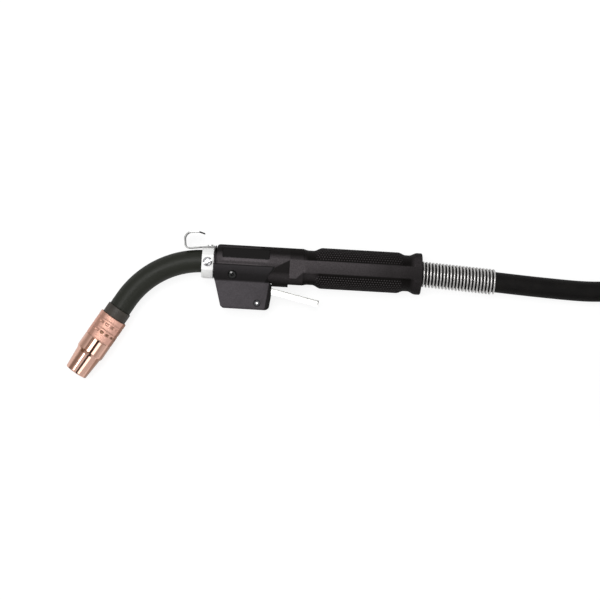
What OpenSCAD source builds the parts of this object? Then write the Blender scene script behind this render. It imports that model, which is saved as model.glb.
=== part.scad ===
// MIG welding torch: slip-on nozzle and contact tip, jacketed swan neck, moulded handle with
// a side-bolted trigger housing, steel strain-relief spring, power cable, storage coil and plug.
// Millimetres. The torch lies on its flat side: X runs back along the handle, Y from the
// trigger towards the hook, Z up. The origin is under the middle of the torch.

/* [Neck] */
// Angle of the neck's bend
bend_deg = 58.5; // [30:0.5:75]
// Centre-line radius of the bend
bend_r = 90; // [75:0.1:110]
// Start of the bend, ahead of the handle's front face
bend_start = 9.8; // [9:0.1:30]
// Height of the neck's axis over the handle's axis
neck_rise = 0.5; // [0:0.1:1.5]
// Straight end of the jacket past the bend
neck_tail = 10.8; // [8:0.1:40]
// Outside diameter of the neck's jacket
jacket_d = 22.6; // [20:0.1:23]
// Outside diameter of the conductor tube
tube_d = 16; // [14:0.1:17]
// Bore of the conductor tube
tube_bore_d = 6; // [5:0.1:8]
// Bore of the wire liner
liner_bore_d = 2.4; // [1.6:0.1:3]
// Length of neck held inside the handle
neck_grip = 66; // [45:0.5:80]

/* [Nozzle and tip] */
// Length of the nozzle
nozzle_len = 66.5; // [60:0.5:80]
// Outside diameter of the nozzle's body
nozzle_d = 28.6; // [26:0.1:32]
// Length of the full-diameter body
nozzle_body = 41.7; // [36:0.1:44]
// Length of the shoulder in front of the body
nozzle_shoulder = 3; // [2:0.1:5]
// Diameter where the shoulder meets the cone
cone_d = 26.2; // [23:0.1:27]
// Outside diameter at the mouth
mouth_d = 23; // [20:0.1:25]
// Bore at the mouth
mouth_bore_d = 15.9; // [13:0.1:17]
// Bore of the rear chamber that slips over the insulator
chamber_d = 21; // [20:0.1:22]
// Crimp dents in each row
dent_count = 14; // [8:1:18]
// Outside diameter of the insulator's collar
collar_d = 25; // [23:0.1:26]
// Length of the insulator's collar
collar_len = 10.4; // [8:0.1:14]
// Length of the insulator's sleeve inside the nozzle
sleeve_len = 24; // [20:0.5:25]
// Outside diameter of the gas diffuser's body
diffuser_d = 16.5; // [15:0.1:17]
// Outside diameter of the contact tip
tip_d = 8; // [6:0.1:9]
// Wire bore of the contact tip
tip_bore_d = 1.3; // [0.8:0.05:2]
// Distance of the tip's end behind the nozzle's mouth
tip_recess = 3; // [0:0.1:6]

/* [Neck clamp and hook] */
// Length of the clamp along the neck
clamp_len = 11.7; // [10:0.1:16]
// Outside diameter of the clamp
clamp_d = 31.8; // [29:0.1:34]
// Distance across the clamp's two side flats
clamp_flats = 28; // [26:0.1:29]
// Gap between the clamp and the handle
clamp_gap = 0.7; // [0.3:0.1:2]
// Head diameter of the clamp screw
clamp_head_d = 9.3; // [7:0.1:10]
// Slope of the hook's base strip
hook_slope = 7; // [4:0.5:12]
// Thickness of the hook strip
strip_t = 1.3; // [1:0.1:2]
// Width of the hook strip
strip_w = 12; // [8:0.5:14]
// Length of the hook's base strip
hook_base = 25.1; // [22:0.1:32]
// Straight rise of the hook
hook_rise = 4.7; // [2:0.1:10]

/* [Handle] */
// Length of the handle
handle_len = 206.2; // [190:0.1:230]
// Radius of the textured grip
grip_r = 20.3; // [19.2:0.1:22]
// Radius of the waist in front of the grip
front_waist_r = 17.2; // [16.6:0.1:18.5]
// Radius of the waist behind the grip
rear_waist_r = 18; // [17:0.1:19]
// Radius of the rear flare and of the front body's corners
flare_r = 20.8; // [20:0.1:22]
// Half height of the front body
body_half_h = 18.1; // [17.5:0.1:19]
// Half width over the flat sides
side_half_w = 18.9; // [18:0.1:20]
// Start of the grip
grip_start = 107; // [100:0.5:115]
// Length of the grip
grip_len = 75; // [60:0.5:90]
// Half height of the flat band along each side
band_half_h = 7; // [5:0.1:9]
// Bore of the handle behind the neck
cavity_d = 25.2; // [24:0.1:27]
// Length of the spring's seat in the handle's rear
seat_len = 10; // [6:0.5:14]

/* [Trigger housing] */
// Height of the seam between handle and housing, over the axis
seam_v = -1.3; // [-3:0.1:0]
// Length of the seam
seam_len = 60.2; // [58:0.1:64]
// Depth of the housing's floor under the axis
floor_depth = 45; // [43:0.1:50]
// Half width of the housing's lower box
box_half_w = 13; // [12.5:0.1:15]
// Wall of the lower box
box_wall = 2.2; // [1.8:0.1:3]
// Radius of the handle inside the housing
saddle_r = 16; // [15.2:0.1:16.6]

/* [Trigger] */
// Trigger travel in degrees
pull_deg = 8; // [5:0.5:9]
// Width of the lever
lever_w = 12; // [10:0.1:13]
// Sheet thickness of the lever
lever_t = 1.2; // [0.8:0.1:1.6]
// Depth of the lever's channel
lever_depth = 6; // [5:0.1:7]
// Reach of the lever's end behind the handle's front face
lever_reach = 106; // [95:0.5:115]
// Diameter of the pivot pin
pin_d = 3; // [2:0.1:4]

/* [Strain relief and cable] */
// Diameter of the power cable
cable_d = 20.4; // [20:0.1:20.8]
// Outside diameter of the strain-relief spring
spring_d = 25.8; // [25.4:0.1:27]
// Wire diameter of the strain-relief spring
spring_wire = 1.9; // [1.6:0.1:2]
// Pitch of the strain-relief spring
spring_pitch = 3.37; // [3:0.01:4]
// Length of the spring behind the handle
spring_len = 74.6; // [60:0.1:90]
// Radius of the storage coil's innermost turn
coil_inner_r = 82; // [82:1:100]
// Turns of the storage coil, half in each layer
coil_turns = 4; // [2:2:6]

/* [Plug] */
// Length of the plug's rubber boot
boot_len = 40; // [30:1:60]
// Outside diameter of the plug's housing
plug_d = 42; // [41:0.5:48]
// Length of the plug's housing
plug_len = 44; // [36:1:60]
// Outside diameter of the plug's hand nut
nut_d = 39; // [37:0.5:40]
// Length of the plug's hand nut
nut_len = 24; // [20:1:30]
// Diameter of the plug's insulating carrier
carrier_d = 32; // [30:0.5:33]
// Diameter of the plug's brass spigot
spigot_d = 10; // [8:0.1:12]
// Diameter of the plug's control pins
contact_d = 4; // [3:0.1:5]

/* [Hidden] */
$fn = 72;

// Clearances
fit_gap = 0.05;
slide_gap = 0.1;
slip_gap = 0.3;
cut = 1;

// Place of the neck's outlet end and of the nozzle's rear face
arc_end = [-bend_start - bend_r * sin(bend_deg), neck_rise - bend_r * (1 - cos(bend_deg))];
nozzle_set = neck_tail + collar_len + slide_gap;
outlet = [-cos(bend_deg), -sin(bend_deg)];
mouth = arc_end + (nozzle_set + nozzle_len) * outlet;
tube_front = nozzle_set - 4;

// The clamp's strip is laid on a sloping seat
clamp_u = -clamp_gap - clamp_len;
strip_front = 15.9;
hook_corner_r = 4.2;
hook_crown_r = 7;
hook_tip_r = 4;
axis_h = side_half_w;

// ---------------------------------------------------------------- shared forms

function unit(v) = v / norm(v);
function ease(t) = t <= 0 ? 0 : t >= 1 ? 1 : t * t * (3 - 2 * t);
function blend(a, b, x0, x1, x) = a + (b - a) * ease((x - x0) / (x1 - x0));
function turn_by(v, a) = [v.x * cos(a) - v.y * sin(a), v.x * sin(a) + v.y * cos(a)];

// A line of straight and curved runs: each step is [length, radius, turn to the right].
function walk(steps, at, heading, i = 0) =
    i == len(steps) ? [[at, heading]] :
    let (s = steps[i], right = turn_by(heading, -90), centre = at + s[1] * right,
        n = s[2] == 0 ? 1 : 8)
    concat(
        [for (k = [0 : n - 1])
            let (a = -s[2] * k / n)
            s[2] == 0 ? [at, heading]
                : [centre + turn_by(at - centre, a), turn_by(heading, a)]],
        s[2] == 0 ? walk(steps, at + s[0] * heading, heading, i + 1)
            : walk(steps, centre + turn_by(at - centre, -s[2]),
                turn_by(heading, -s[2]), i + 1));

// Middle line of the hook strip in the side view.
hook_line = walk([[hook_base, 0, 0], [0, hook_corner_r, 90], [hook_rise, 0, 0],
    [0, hook_crown_r, 92], [6.5, 0, 0], [0, hook_tip_r, 22], [5.5, 0, 0]],
    [-clamp_gap - 0.2, strip_front], turn_by([-1, 0], hook_slope));

// The torch without its cable, from mouth to spring end and from mouth to hook
left_u = mouth.x - mouth_d / 2 * sin(bend_deg);
low_v = mouth.y - mouth_d / 2 * cos(bend_deg);
right_u = handle_len + spring_len;
top_v = max([for (p = hook_line) (p[0] + strip_t / 2 * turn_by(p[1], 90)).y]);
centre_u = (left_u + right_u) / 2;
centre_v = (low_v + top_v) / 2;

// Puts children given along the handle's axis into the part's frame.
module torch_frame() {
    translate([-centre_u, -centre_v, axis_h])
        children();
}

// Puts children given from the handle's rear face and up from the floor into the part's frame.
module floor_frame() {
    translate([handle_len - centre_u, -centre_v, 0])
        children();
}

// Puts children given along the nozzle, from its rear face to its mouth, into the part's frame.
module nozzle_frame() {
    torch_frame()
        translate([arc_end.x, arc_end.y, 0])
            rotate([0, 0, 180 + bend_deg])
                translate([nozzle_set, 0, 0])
                    children();
}

// A solid turned about the X axis from points of [radius, station].
module turned(profile) {
    rotate([0, 90, 0])
        rotate_extrude()
            polygon(profile);
}

// A round bar along X from one station to another.
module bar(r, x0, x1) {
    translate([x0, 0, 0])
        rotate([0, 90, 0])
            cylinder(r = r, h = x1 - x0);
}

// A round bar along Z between two heights at a place of the side view.
module cross_bar(r, place, z0, z1) {
    translate([place.x, place.y, z0])
        cylinder(r = r, h = z1 - z0);
}

// One ring of a swept tube: a polygon square to dir, its first corner towards lead.
function ring(centre, dir, lead, r, sides) =
    let (up = unit(lead - (lead * dir) * dir), side = cross(dir, up))
    [for (k = [0 : sides - 1])
        centre + r * (cos(360 * k / sides) * up + sin(360 * k / sides) * side)];

// A tube through rings of equal size, closed at both ends.
module swept(rings) {
    sides = len(rings[0]);
    last = (len(rings) - 1) * sides;
    walls = [for (i = [0 : len(rings) - 2], k = [0 : sides - 1])
        let (a = i * sides + k, b = i * sides + (k + 1) % sides)
        each [[a, b + sides, b], [a, a + sides, b + sides]]];
    caps = [for (k = [1 : sides - 2])
        each [[0, k, k + 1], [last, last + k + 1, last + k]]];
    polyhedron([for (r = rings) each r], concat(walls, caps));
}

// Triangles between neighbouring rings of equal size whose points start at a given count.
function tube_walls(first, rings, sides, outward) =
    [for (i = [0 : rings - 2], k = [0 : sides - 1])
        let (a = first + i * sides + k, b = first + i * sides + (k + 1) % sides)
        each outward ? [[a, b + sides, b], [a, a + sides, b + sides]]
            : [[a, b, b + sides], [a, b + sides, a + sides]]];

// Triangles between the end rings of a pipe's outside and bore.
function pipe_face(outer, inner, sides, outward) =
    [for (k = [0 : sides - 1])
        let (a = outer + k, b = outer + (k + 1) % sides, c = inner + (k + 1) % sides, d = inner + k)
        each outward ? [[a, b, c], [a, c, d]] : [[a, c, b], [a, d, c]]];

// A pipe through rings of its outside and rings of its bore.
module swept_pipe(outside, bore) {
    sides = len(outside[0]);
    inner = len(outside) * sides;
    outer_last = inner - sides;
    inner_last = inner + (len(bore) - 1) * sides;
    polyhedron(concat([for (r = outside) each r], [for (r = bore) each r]),
        concat(tube_walls(0, len(outside), sides, true),
            tube_walls(inner, len(bore), sides, false),
            pipe_face(0, inner, sides, true),
            pipe_face(outer_last, inner_last, sides, false)));
}

// Rings along the neck: straight from the handle, round the bend, straight to the end.
function neck_place(s) = s < 0 ? [-bend_start - s, neck_rise]
    : s <= bend_deg ? [-bend_start - bend_r * sin(s), neck_rise - bend_r * (1 - cos(s))]
    : arc_end + (s - bend_deg) * outlet;
function neck_ring(s, r, sides) =
    let (a = max(0, min(bend_deg, s)), p = neck_place(s))
    ring([p.x, p.y, 0], [-cos(a), -sin(a), 0], [0, 0, 1], r, sides);
function neck_rings(r, back, front, sides = 24, steps = 12) = concat(
    [neck_ring(-back - bend_start, r, sides)],
    [for (i = [0 : steps]) neck_ring(bend_deg * i / steps, r, sides)],
    [neck_ring(bend_deg + front, r, sides)]);

// Rings along a hand-laid route, square to X at both ends.
function route_rings(path, r, sides) =
    let (end = len(path) - 1)
    [for (i = [0 : end])
        let (dir = i == 0 || i == end ? [1, 0, 0] : unit(path[i + 1] - path[i - 1]))
        ring(path[i], dir, [0, 0, 1], r, sides)];

// Least distance between points of a wound line that lie at least a given count apart.
function least_gap(points, apart, d) =
    min([for (i = [0 : len(points) - 1 - apart], j = [i + apart : len(points) - 1])
        norm(points[i] - points[j])]) - d;

// ---------------------------------------------------------------- nozzle end

nozzle_r = nozzle_d / 2;
dent_rows = [8.9, 18];
band_line = 26.8;
function groove(s) = [[nozzle_r, s - 0.6], [nozzle_r - 0.25, s], [nozzle_r, s + 0.6]];

module nozzle() {
    outside = concat(
        [[chamber_d / 2, 0], [nozzle_r - 0.5, 0], [nozzle_r, 0.5]],
        groove(dent_rows[0] - 3.4), groove(dent_rows[1] - 3.4), groove(band_line),
        [[nozzle_r, nozzle_body], [cone_d / 2, nozzle_body + nozzle_shoulder],
        [mouth_d / 2, nozzle_len - 0.4], [mouth_d / 2 - 0.4, nozzle_len]]);
    inside = [[mouth_bore_d / 2, nozzle_len], [mouth_bore_d / 2, nozzle_body + 6.8],
        [chamber_d / 2, nozzle_body + 0.8]];
    color("#d98a6c")
        nozzle_frame()
            difference() {
                turned(concat(outside, inside));
                for (s = dent_rows, k = [0 : dent_count - 1])
                    rotate([360 * k / dent_count, 0, 0])
                        translate([0, 0, nozzle_r + 3.4])
                            bar(4, s - 1, s + 1);
            }
}

module nozzle_insulator() {
    color("#26211d")
        nozzle_frame()
            turned([[tube_d / 2 + slide_gap, -collar_len], [collar_d / 2 - 0.5, -collar_len],
                [collar_d / 2, -collar_len + 0.5], [collar_d / 2, -fit_gap],
                [chamber_d / 2 - slip_gap, -fit_gap], [chamber_d / 2 - slip_gap, sleeve_len],
                [diffuser_d / 2 + slide_gap, sleeve_len], [diffuser_d / 2 + slide_gap, -4],
                [tube_d / 2 + slide_gap, -4]]);
}

spigot_r = 5.5;
nose_r = 6.8;
nose_end = sleeve_len + 14;
tip_seat = nose_end - 7;

module gas_diffuser() {
    color("#b5893e")
        nozzle_frame()
            difference() {
                turned([[spigot_r + fit_gap, -4 + fit_gap], [diffuser_d / 2, -4 + fit_gap],
                    [diffuser_d / 2, sleeve_len], [nose_r, sleeve_len + 1.4],
                    [nose_r, nose_end - 1], [nose_r - 1, nose_end],
                    [tip_d / 2 + fit_gap, nose_end], [tip_d / 2 + fit_gap, tip_seat],
                    [tip_d / 2 - 0.6, tip_seat], [tip_d / 2 - 0.6, 4 + fit_gap],
                    [spigot_r + fit_gap, 4 + fit_gap]]);
                for (k = [0 : 3])
                    rotate([90 * k + 45, 0, 0])
                        translate([sleeve_len + 4, 0, 0])
                            cylinder(r = 1.1, h = nozzle_r);
            }
}

module contact_tip() {
    color("#c9784f")
        nozzle_frame()
            turned([[tip_bore_d / 2, tip_seat + fit_gap], [tip_d / 2, tip_seat + fit_gap],
                [tip_d / 2, nozzle_body + 10], [tip_d / 2 - 1, nozzle_len - tip_recess - 0.6],
                [tip_d / 2 - 1.6, nozzle_len - tip_recess],
                [tip_bore_d / 2, nozzle_len - tip_recess]]);
}

// ---------------------------------------------------------------- neck

module conductor_tube() {
    thread_end = bend_deg + tube_front + 8;
    color("#b08d4a")
        torch_frame()
            swept_pipe(
                concat(neck_rings(tube_d / 2, neck_grip, tube_front),
                    [neck_ring(bend_deg + tube_front, spigot_r, 24),
                    neck_ring(thread_end, spigot_r, 24)]),
                neck_rings(tube_bore_d / 2, neck_grip, tube_front + 8));
}

module tube_jacket() {
    color("#1d1e1a")
        torch_frame()
            swept_pipe(neck_rings(jacket_d / 2, neck_grip - 6, neck_tail),
                neck_rings(tube_d / 2 + slide_gap, neck_grip - 6, neck_tail));
}

module wire_liner() {
    color("#8d9094")
        torch_frame()
            swept_pipe(neck_rings(tube_bore_d / 2 - slip_gap, neck_grip + 8, tube_front + 8, 12),
                neck_rings(liner_bore_d / 2, neck_grip + 8, tube_front + 8, 12));
}

// ---------------------------------------------------------------- clamp and hook

// Height of the strip's middle over the handle's axis at a station.
function strip_v(u) = strip_front + (u + clamp_gap) * tan(hook_slope);

// The half-plane above the strip's lower face.
module strip_cut(width) {
    translate([-clamp_gap, strip_front, 0])
        rotate([0, 0, hook_slope])
            translate([-clamp_len - 4, -strip_t / 2 - fit_gap, -width / 2])
                cube([clamp_len + 8, 12, width]);
}

module neck_clamp() {
    color("#dcdedd")
        torch_frame()
            difference() {
                intersection() {
                    translate([0, -0.5, 0])
                        turned([[0, clamp_u], [clamp_d / 2 - 0.6, clamp_u],
                            [clamp_d / 2, clamp_u + 0.6], [clamp_d / 2, -clamp_gap - 0.6],
                            [clamp_d / 2 - 0.6, -clamp_gap], [0, -clamp_gap]]);
                    translate([clamp_u - cut, -clamp_d, -clamp_flats / 2])
                        cube([clamp_len + 2 * cut, 2 * clamp_d, clamp_flats]);
                }
                translate([0, neck_rise, 0])
                    bar(jacket_d / 2 + 0.15, clamp_u - cut, cut);
                strip_cut(clamp_flats + 2 * cut);
                cross_bar(2.5 + fit_gap, [clamp_u + clamp_len / 2, 0], 0, clamp_flats);
                hook_hole(1.5 + fit_gap);
            }
}

// The clamp screw bears on the jacket through the clamp's side flat.
module clamp_screw() {
    centre = [clamp_u + clamp_len / 2, 0];
    head_h = 2.6;
    head_r = clamp_head_d / 2;
    color("#c4c6c6")
        torch_frame()
            difference() {
                union() {
                    cross_bar(2.5, centre, jacket_d / 2 + slide_gap, clamp_flats / 2 + 0.5);
                    translate([centre.x, centre.y, clamp_flats / 2 + fit_gap])
                        rotate_extrude()
                            polygon(concat([[0, 0], [head_r, 0], [head_r, 0.8]],
                                [for (a = [15 : 15 : 90])
                                    [head_r * cos(a), 0.8 + (head_h - 0.8) * sin(a)]]));
                }
                translate([centre.x, centre.y, clamp_flats / 2 + head_h])
                    rotate([0, 0, 25])
                        cube([2 * head_r, 1.3, 2.4], center = true);
            }
}

module hook_hole(r) {
    translate([-clamp_gap - 4.5, strip_v(-clamp_gap - 4.5), 0])
        rotate([90, 0, hook_slope])
            translate([0, 0, -4])
                cylinder(r = r, h = 7.2);
}

module hanger_hook() {
    side = strip_t / 2;
    left = [for (p = hook_line) p[0] + side * turn_by(p[1], 90)];
    right = [for (i = [len(hook_line) - 1 : -1 : 0])
        hook_line[i][0] - side * turn_by(hook_line[i][1], 90)];
    color("#e3e4e3")
        torch_frame()
            difference() {
                translate([0, 0, -strip_w / 2])
                    linear_extrude(strip_w)
                        polygon(concat(left, right));
                hook_hole(1.5 + fit_gap);
            }
}

// A short screw holds the strip to the clamp's top.
module hook_screw() {
    color("#b9bbbb")
        torch_frame()
            translate([-clamp_gap - 4.5, strip_v(-clamp_gap - 4.5), 0])
                rotate([-90, 0, hook_slope]) {
                    translate([0, 0, strip_t / 2 + fit_gap])
                        cylinder(r = 2.7, h = 1.2);
                    translate([0, 0, -3])
                        cylinder(r = 1.5, h = 3 + strip_t / 2 + 0.3);
                }
}

// ---------------------------------------------------------------- handle

grip_end = grip_start + grip_len;
waist_dip = 5;
waist_flat = 5;
grip_ramp = 9;
tail_start = handle_len - 13;
waist_start = grip_start - grip_ramp - waist_flat - waist_dip;

// Radius of the handle's turned outline at a station.
function handle_r(x) =
    x < grip_start - grip_ramp - waist_flat / 2
        ? blend(body_half_h, front_waist_r, waist_start, waist_start + waist_dip, x)
    : x < (grip_start + grip_end) / 2
        ? blend(front_waist_r, grip_r, grip_start - grip_ramp, grip_start, x)
    : x < tail_start - 1
        ? blend(grip_r, rear_waist_r, grip_end, grip_end + 8, x)
    : blend(rear_waist_r, flare_r, tail_start, tail_start + 8, x);

// The housing's side outline: straight seam, S-shaped rear edge, raked front.
s_start = 2.4;
s_depth = 8.6;
s_reach = 6.4;
function housing_outline(grow) = concat(
    [[-clamp_gap - grow, seam_v + grow], [seam_len + grow, seam_v + grow]],
    [for (i = [0 : 8])
        [seam_len + grow - s_reach * ease(i / 8), seam_v - s_start - s_depth * i / 8]],
    [[seam_len - 4.9 + grow, -18.1], [seam_len - 2.4 + grow, -18.8],
    [seam_len - 2.4 + grow, -30]],
    [for (a = [0 : 15 : 90])
        [seam_len - 8.2 + grow + 4.5 * cos(a), -floor_depth + 4.5 - grow - 4.5 * sin(a)]],
    [[11, -floor_depth - grow], [8.4, -floor_depth + 2 - grow], [2 - grow, -20],
    [0.5 - grow, -15.7], [-clamp_gap - grow, -4]]);

// Everything the housing may fill, wide enough to cut the handle with.
module housing_prism(grow) {
    translate([0, 0, -side_half_w - 3])
        linear_extrude(2 * side_half_w + 6)
            polygon(housing_outline(grow));
}

label_tilt = 24.9;
label_level = 18.95;
label_start = 8;
label_len = 47;
label_low = -3.2;
label_h = 10.5;

// A plate with round corners lying on the label's slanted seat.
module label_form(grow, t) {
    rotate([-label_tilt, 0, 0])
        translate([label_start - grow, label_low - grow, label_level])
            linear_extrude(t)
                union() {
                    w = label_len + 2 * grow;
                    h = label_h + 2 * grow;
                    c = 1.2;
                    translate([c, 0])
                        square([w - 2 * c, h]);
                    translate([0, c])
                        square([w, h - 2 * c]);
                    for (x = [c, w - c], y = [c, h - c])
                        translate([x, y])
                            circle(r = c, $fn = 24);
                }
}

module label_plate() {
    color("#060606")
        torch_frame()
            label_form(-0.2, 0.5);
}

bolt_place = [18.7, -11.6];
bolt_r = 1.5;
bolt_head_r = 3.9;
bolt_tip = 8;
screw_place = [seam_len - 15.6, -floor_depth + 6.6];
screw_r = 1.45;
pivot = [seam_len - 14.2, -27];

module handle_body() {
    step_count = 64;
    grip_front = waist_start - 2;
    grip_back = handle_len - 0.8;
    grip_outline = concat([[0, grip_front]],
        [for (i = [0 : step_count])
            let (x = grip_front + (grip_back - grip_front) * i / step_count)
            [handle_r(x), x]],
        [[flare_r - 0.8, handle_len], [0, handle_len]]);
    lip_r = body_half_h - 1.2;
    groove_r = body_half_h - 3.6;
    body_outline = [[0, 0], [lip_r - 0.3, 0], [lip_r, 0.3], [lip_r, 0.9], [groove_r, 1.2],
        [groove_r, 1.6], [lip_r - 0.6, 1.9], [lip_r + 0.7, 2.7], [lip_r + 1.5, 4],
        [flare_r - 0.9, 5.2], [flare_r, 6.8],
        [flare_r, waist_start + 1], [body_half_h, waist_start + 3], [0, waist_start + 3]];
    lug_len = 16;
    lug_low = -20.8;
    slot_w = 8;
    color("#262225")
        torch_frame()
            difference() {
                union() {
                    intersection() {
                        turned(grip_outline);
                        translate([0, -handle_len, -side_half_w])
                            cube([handle_len, 2 * handle_len, 2 * side_half_w]);
                    }
                    difference() {
                        intersection() {
                            turned(body_outline);
                            translate([-cut, -body_half_h, -side_half_w])
                                cube([handle_len, 2 * body_half_h, 2 * side_half_w]);
                        }
                        cheek_facets();
                    }
                    side_band();
                    translate([seam_len - 2.4 + slide_gap, lug_low, -lug_len / 2])
                        cube([lug_len, 10, lug_len]);
                }
                translate([0, neck_rise, 0])
                    bar(jacket_d / 2 + 0.15, -cut, neck_grip - 6 + slide_gap);
                bar(cavity_d / 2, neck_grip - 6 + slide_gap, handle_len + cut);
                bar(spring_d / 2 + 0.9, handle_len - seat_len, handle_len + cut);
                difference() {
                    housing_prism(slide_gap);
                    bar(saddle_r, -cut - clamp_gap, seam_len + 4);
                }
                label_form(0, 6);
                translate([switch_front + 2, -saddle_r - cut, -slot_w / 2])
                    cube([neck_grip - 8 - switch_front, slot_w, slot_w]);
                for (s = [-1, 1])
                    mirror([0, 0, s < 0 ? 1 : 0])
                        cross_bar(bolt_r + fit_gap, bolt_place, bolt_tip - 0.5, side_half_w + cut);
            }
}

// Behind the housing each side falls away under a slanting edge, as far as the flat band.
band_start = seam_len + 14.8;
cheek_turn = 30;
cheek_fall = 9;
module cheek_facets() {
    for (s = [0, 1])
        mirror([0, 0, s])
            intersection() {
                translate([seam_len + 0.8, seam_v - 0.6, side_half_w])
                    rotate([cheek_fall, 0, cheek_turn])
                        translate([-seam_len, -seam_len, 0])
                            cube([2 * seam_len, seam_len, side_half_w]);
                translate([0, -handle_len, 0])
                    cube([band_start, 2 * handle_len, 2 * side_half_w]);
            }
}

// The flat band stands proud of both waists, and starts at a step behind the housing.
module side_band() {
    translate([0, 0, -side_half_w])
        linear_extrude(2 * side_half_w)
            polygon([[band_start, band_half_h - 1], [band_start, -band_half_h - 2],
                [band_start + 2, -band_half_h - 5], [band_start + 7, -band_half_h - 5],
                [band_start + 15, -band_half_h], [handle_len - 2, -band_half_h],
                [handle_len - 2, band_half_h], [band_start + 24, band_half_h]]);
}

// ---------------------------------------------------------------- trigger housing

crease_v = -17.5;
side_depth = 24;

// The housing's end view, as [height, half width]: the side follows the handle down to a
// crease, then drops straight to the floor.
module housing_section() {
    arc = [for (i = [0 : 8])
        let (v = seam_v + (crease_v - seam_v) * i / 8)
        [v, side_half_w * sqrt(1 - pow(v / side_depth, 2))]];
    polygon(concat([[seam_v, 0]], arc,
        [[crease_v - 1.2, box_half_w], [-floor_depth + 2, box_half_w],
        [-floor_depth, box_half_w - 2], [-floor_depth, 0]]));
}

// Inside of the lower box, following its outline at the wall's thickness.
module housing_cavity() {
    translate([0, 0, -box_half_w + box_wall])
        linear_extrude(2 * (box_half_w - box_wall))
            polygon([[5.2, -14], [seam_len - 6.8, -14], [seam_len - 4.8, -19],
                [seam_len - 4.8, -floor_depth + 15], [seam_len - 5.6, -floor_depth + box_wall + 2],
                [seam_len - 7.6, -floor_depth + box_wall], [12.6, -floor_depth + box_wall],
                [10.6, -floor_depth + box_wall + 2], [4.4, -20]]);
}

boss_r = 4.6;
screw_recess_r = 3.6;
screw_floor = box_half_w - 2.4;
bolt_recess_r = 4.6;
bolt_floor = 13.9;
opening_top = -18.4;
opening_low = -30.8;

// The left half; the right half is its mirror image.
module housing_half() {
    difference() {
        union() {
            difference() {
                intersection() {
                    housing_prism(0);
                    translate([-2, 0, 0])
                        rotate([90, 0, 90])
                            linear_extrude(seam_len + 4)
                                housing_section();
                }
                housing_cavity();
                bar(saddle_r + slide_gap, -clamp_gap - cut, seam_len + 4);
                rear_corner_cut();
            }
            cross_bar(boss_r, screw_place, 0, box_half_w - box_wall + slide_gap);
            cross_bar(3.6, pivot, lever_w / 2 + 0.2, box_half_w - box_wall + slide_gap);
        }
        cross_bar(screw_r + slide_gap, screw_place, -cut, box_half_w + cut);
        cross_bar(screw_recess_r, screw_place, screw_floor, box_half_w + cut);
        cross_bar(pin_d / 2 + fit_gap, pivot, -cut, box_half_w - 1);
        cross_bar(bolt_r + fit_gap, bolt_place, 0, side_half_w);
        cross_bar(bolt_recess_r, bolt_place, bolt_floor, side_half_w + cut);
        translate([seam_len - 10, opening_low, -cut])
            cube([14, opening_top - opening_low, lever_w / 2 + 0.8 + cut]);
    }
}

// Rounds the lower box's rear edge, where the side wall turns into the back.
module rear_corner_cut() {
    r = 5;
    height = floor_depth + opening_top - 0.4 + cut;
    translate([seam_len - 2.4 - r, -floor_depth - cut, box_half_w - r])
        difference() {
            cube([r + 2, height, r + 2]);
            rotate([-90, 0, 0])
                cylinder(r = r, h = height);
        }
}

module trigger_housing_left() {
    color("#2b272b")
        torch_frame()
            housing_half();
}

module trigger_housing_right() {
    color("#2b272b")
        torch_frame()
            mirror([0, 0, 1])
                housing_half();
}

// One short black bolt on each side holds the housing to the handle.
module housing_bolts() {
    color("#141414")
        torch_frame()
            for (s = [0, 1])
                mirror([0, 0, s]) {
                    cross_bar(bolt_r, bolt_place, bolt_tip, bolt_floor + 0.5);
                    difference() {
                        cross_bar(bolt_head_r, bolt_place, bolt_floor + fit_gap, bolt_floor + 1.9);
                        cross_bar(1.3, bolt_place, bolt_floor + 0.8, bolt_floor + 3, $fn = 6);
                    }
                }
}

// One screw joins the halves at the rear of the floor.
module housing_screw() {
    head_z = screw_floor + fit_gap;
    color("#b5b7b8")
        torch_frame() {
            cross_bar(screw_r, screw_place, -screw_floor - 1.8, head_z + 0.5);
            difference() {
                cross_bar(2.7, screw_place, head_z, head_z + 1.8);
                for (a = [45, 135])
                    translate([screw_place.x, screw_place.y, head_z + 1.8])
                        rotate([0, 0, a])
                            cube([3, 0.7, 1.6], center = true);
            }
        }
}

module housing_nut() {
    color("#9fa2a3")
        torch_frame()
            difference() {
                cross_bar(3.1, screw_place, -screw_floor - 2.1, -screw_floor - fit_gap, $fn = 6);
                cross_bar(screw_r + fit_gap, screw_place, -box_half_w - cut, 0);
            }
}

// ---------------------------------------------------------------- trigger and switch

foot_u = pivot.x - 16;
foot_v = -floor_depth + 16.8;
lever_root = pivot + [4, 6.05];
lever_drop = 0.206;
lever_end = [lever_reach, lever_root.y - lever_drop * (lever_reach - lever_root.x)];

// One side of the lever: channel wall, pivot ear and the arm that reaches over the switch.
module lever_side() {
    difference() {
        union() {
            polygon([[lever_root.x - 5, lever_root.y - 1], lever_root, lever_end,
                [lever_end.x - 1.2, lever_end.y - lever_depth],
                [lever_root.x + 2, lever_root.y - lever_depth - 0.4], [pivot.x, pivot.y - 4]]);
            translate(pivot)
                circle(r = pin_d / 2 + 3);
            polygon([[pivot.x, pivot.y + 4.4], [foot_u - 4, foot_v + 3.6],
                [foot_u - 4, foot_v], [foot_u + 8, foot_v], [pivot.x, pivot.y - 4]]);
        }
        translate(pivot)
            circle(r = pin_d / 2 + fit_gap);
    }
}

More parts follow.
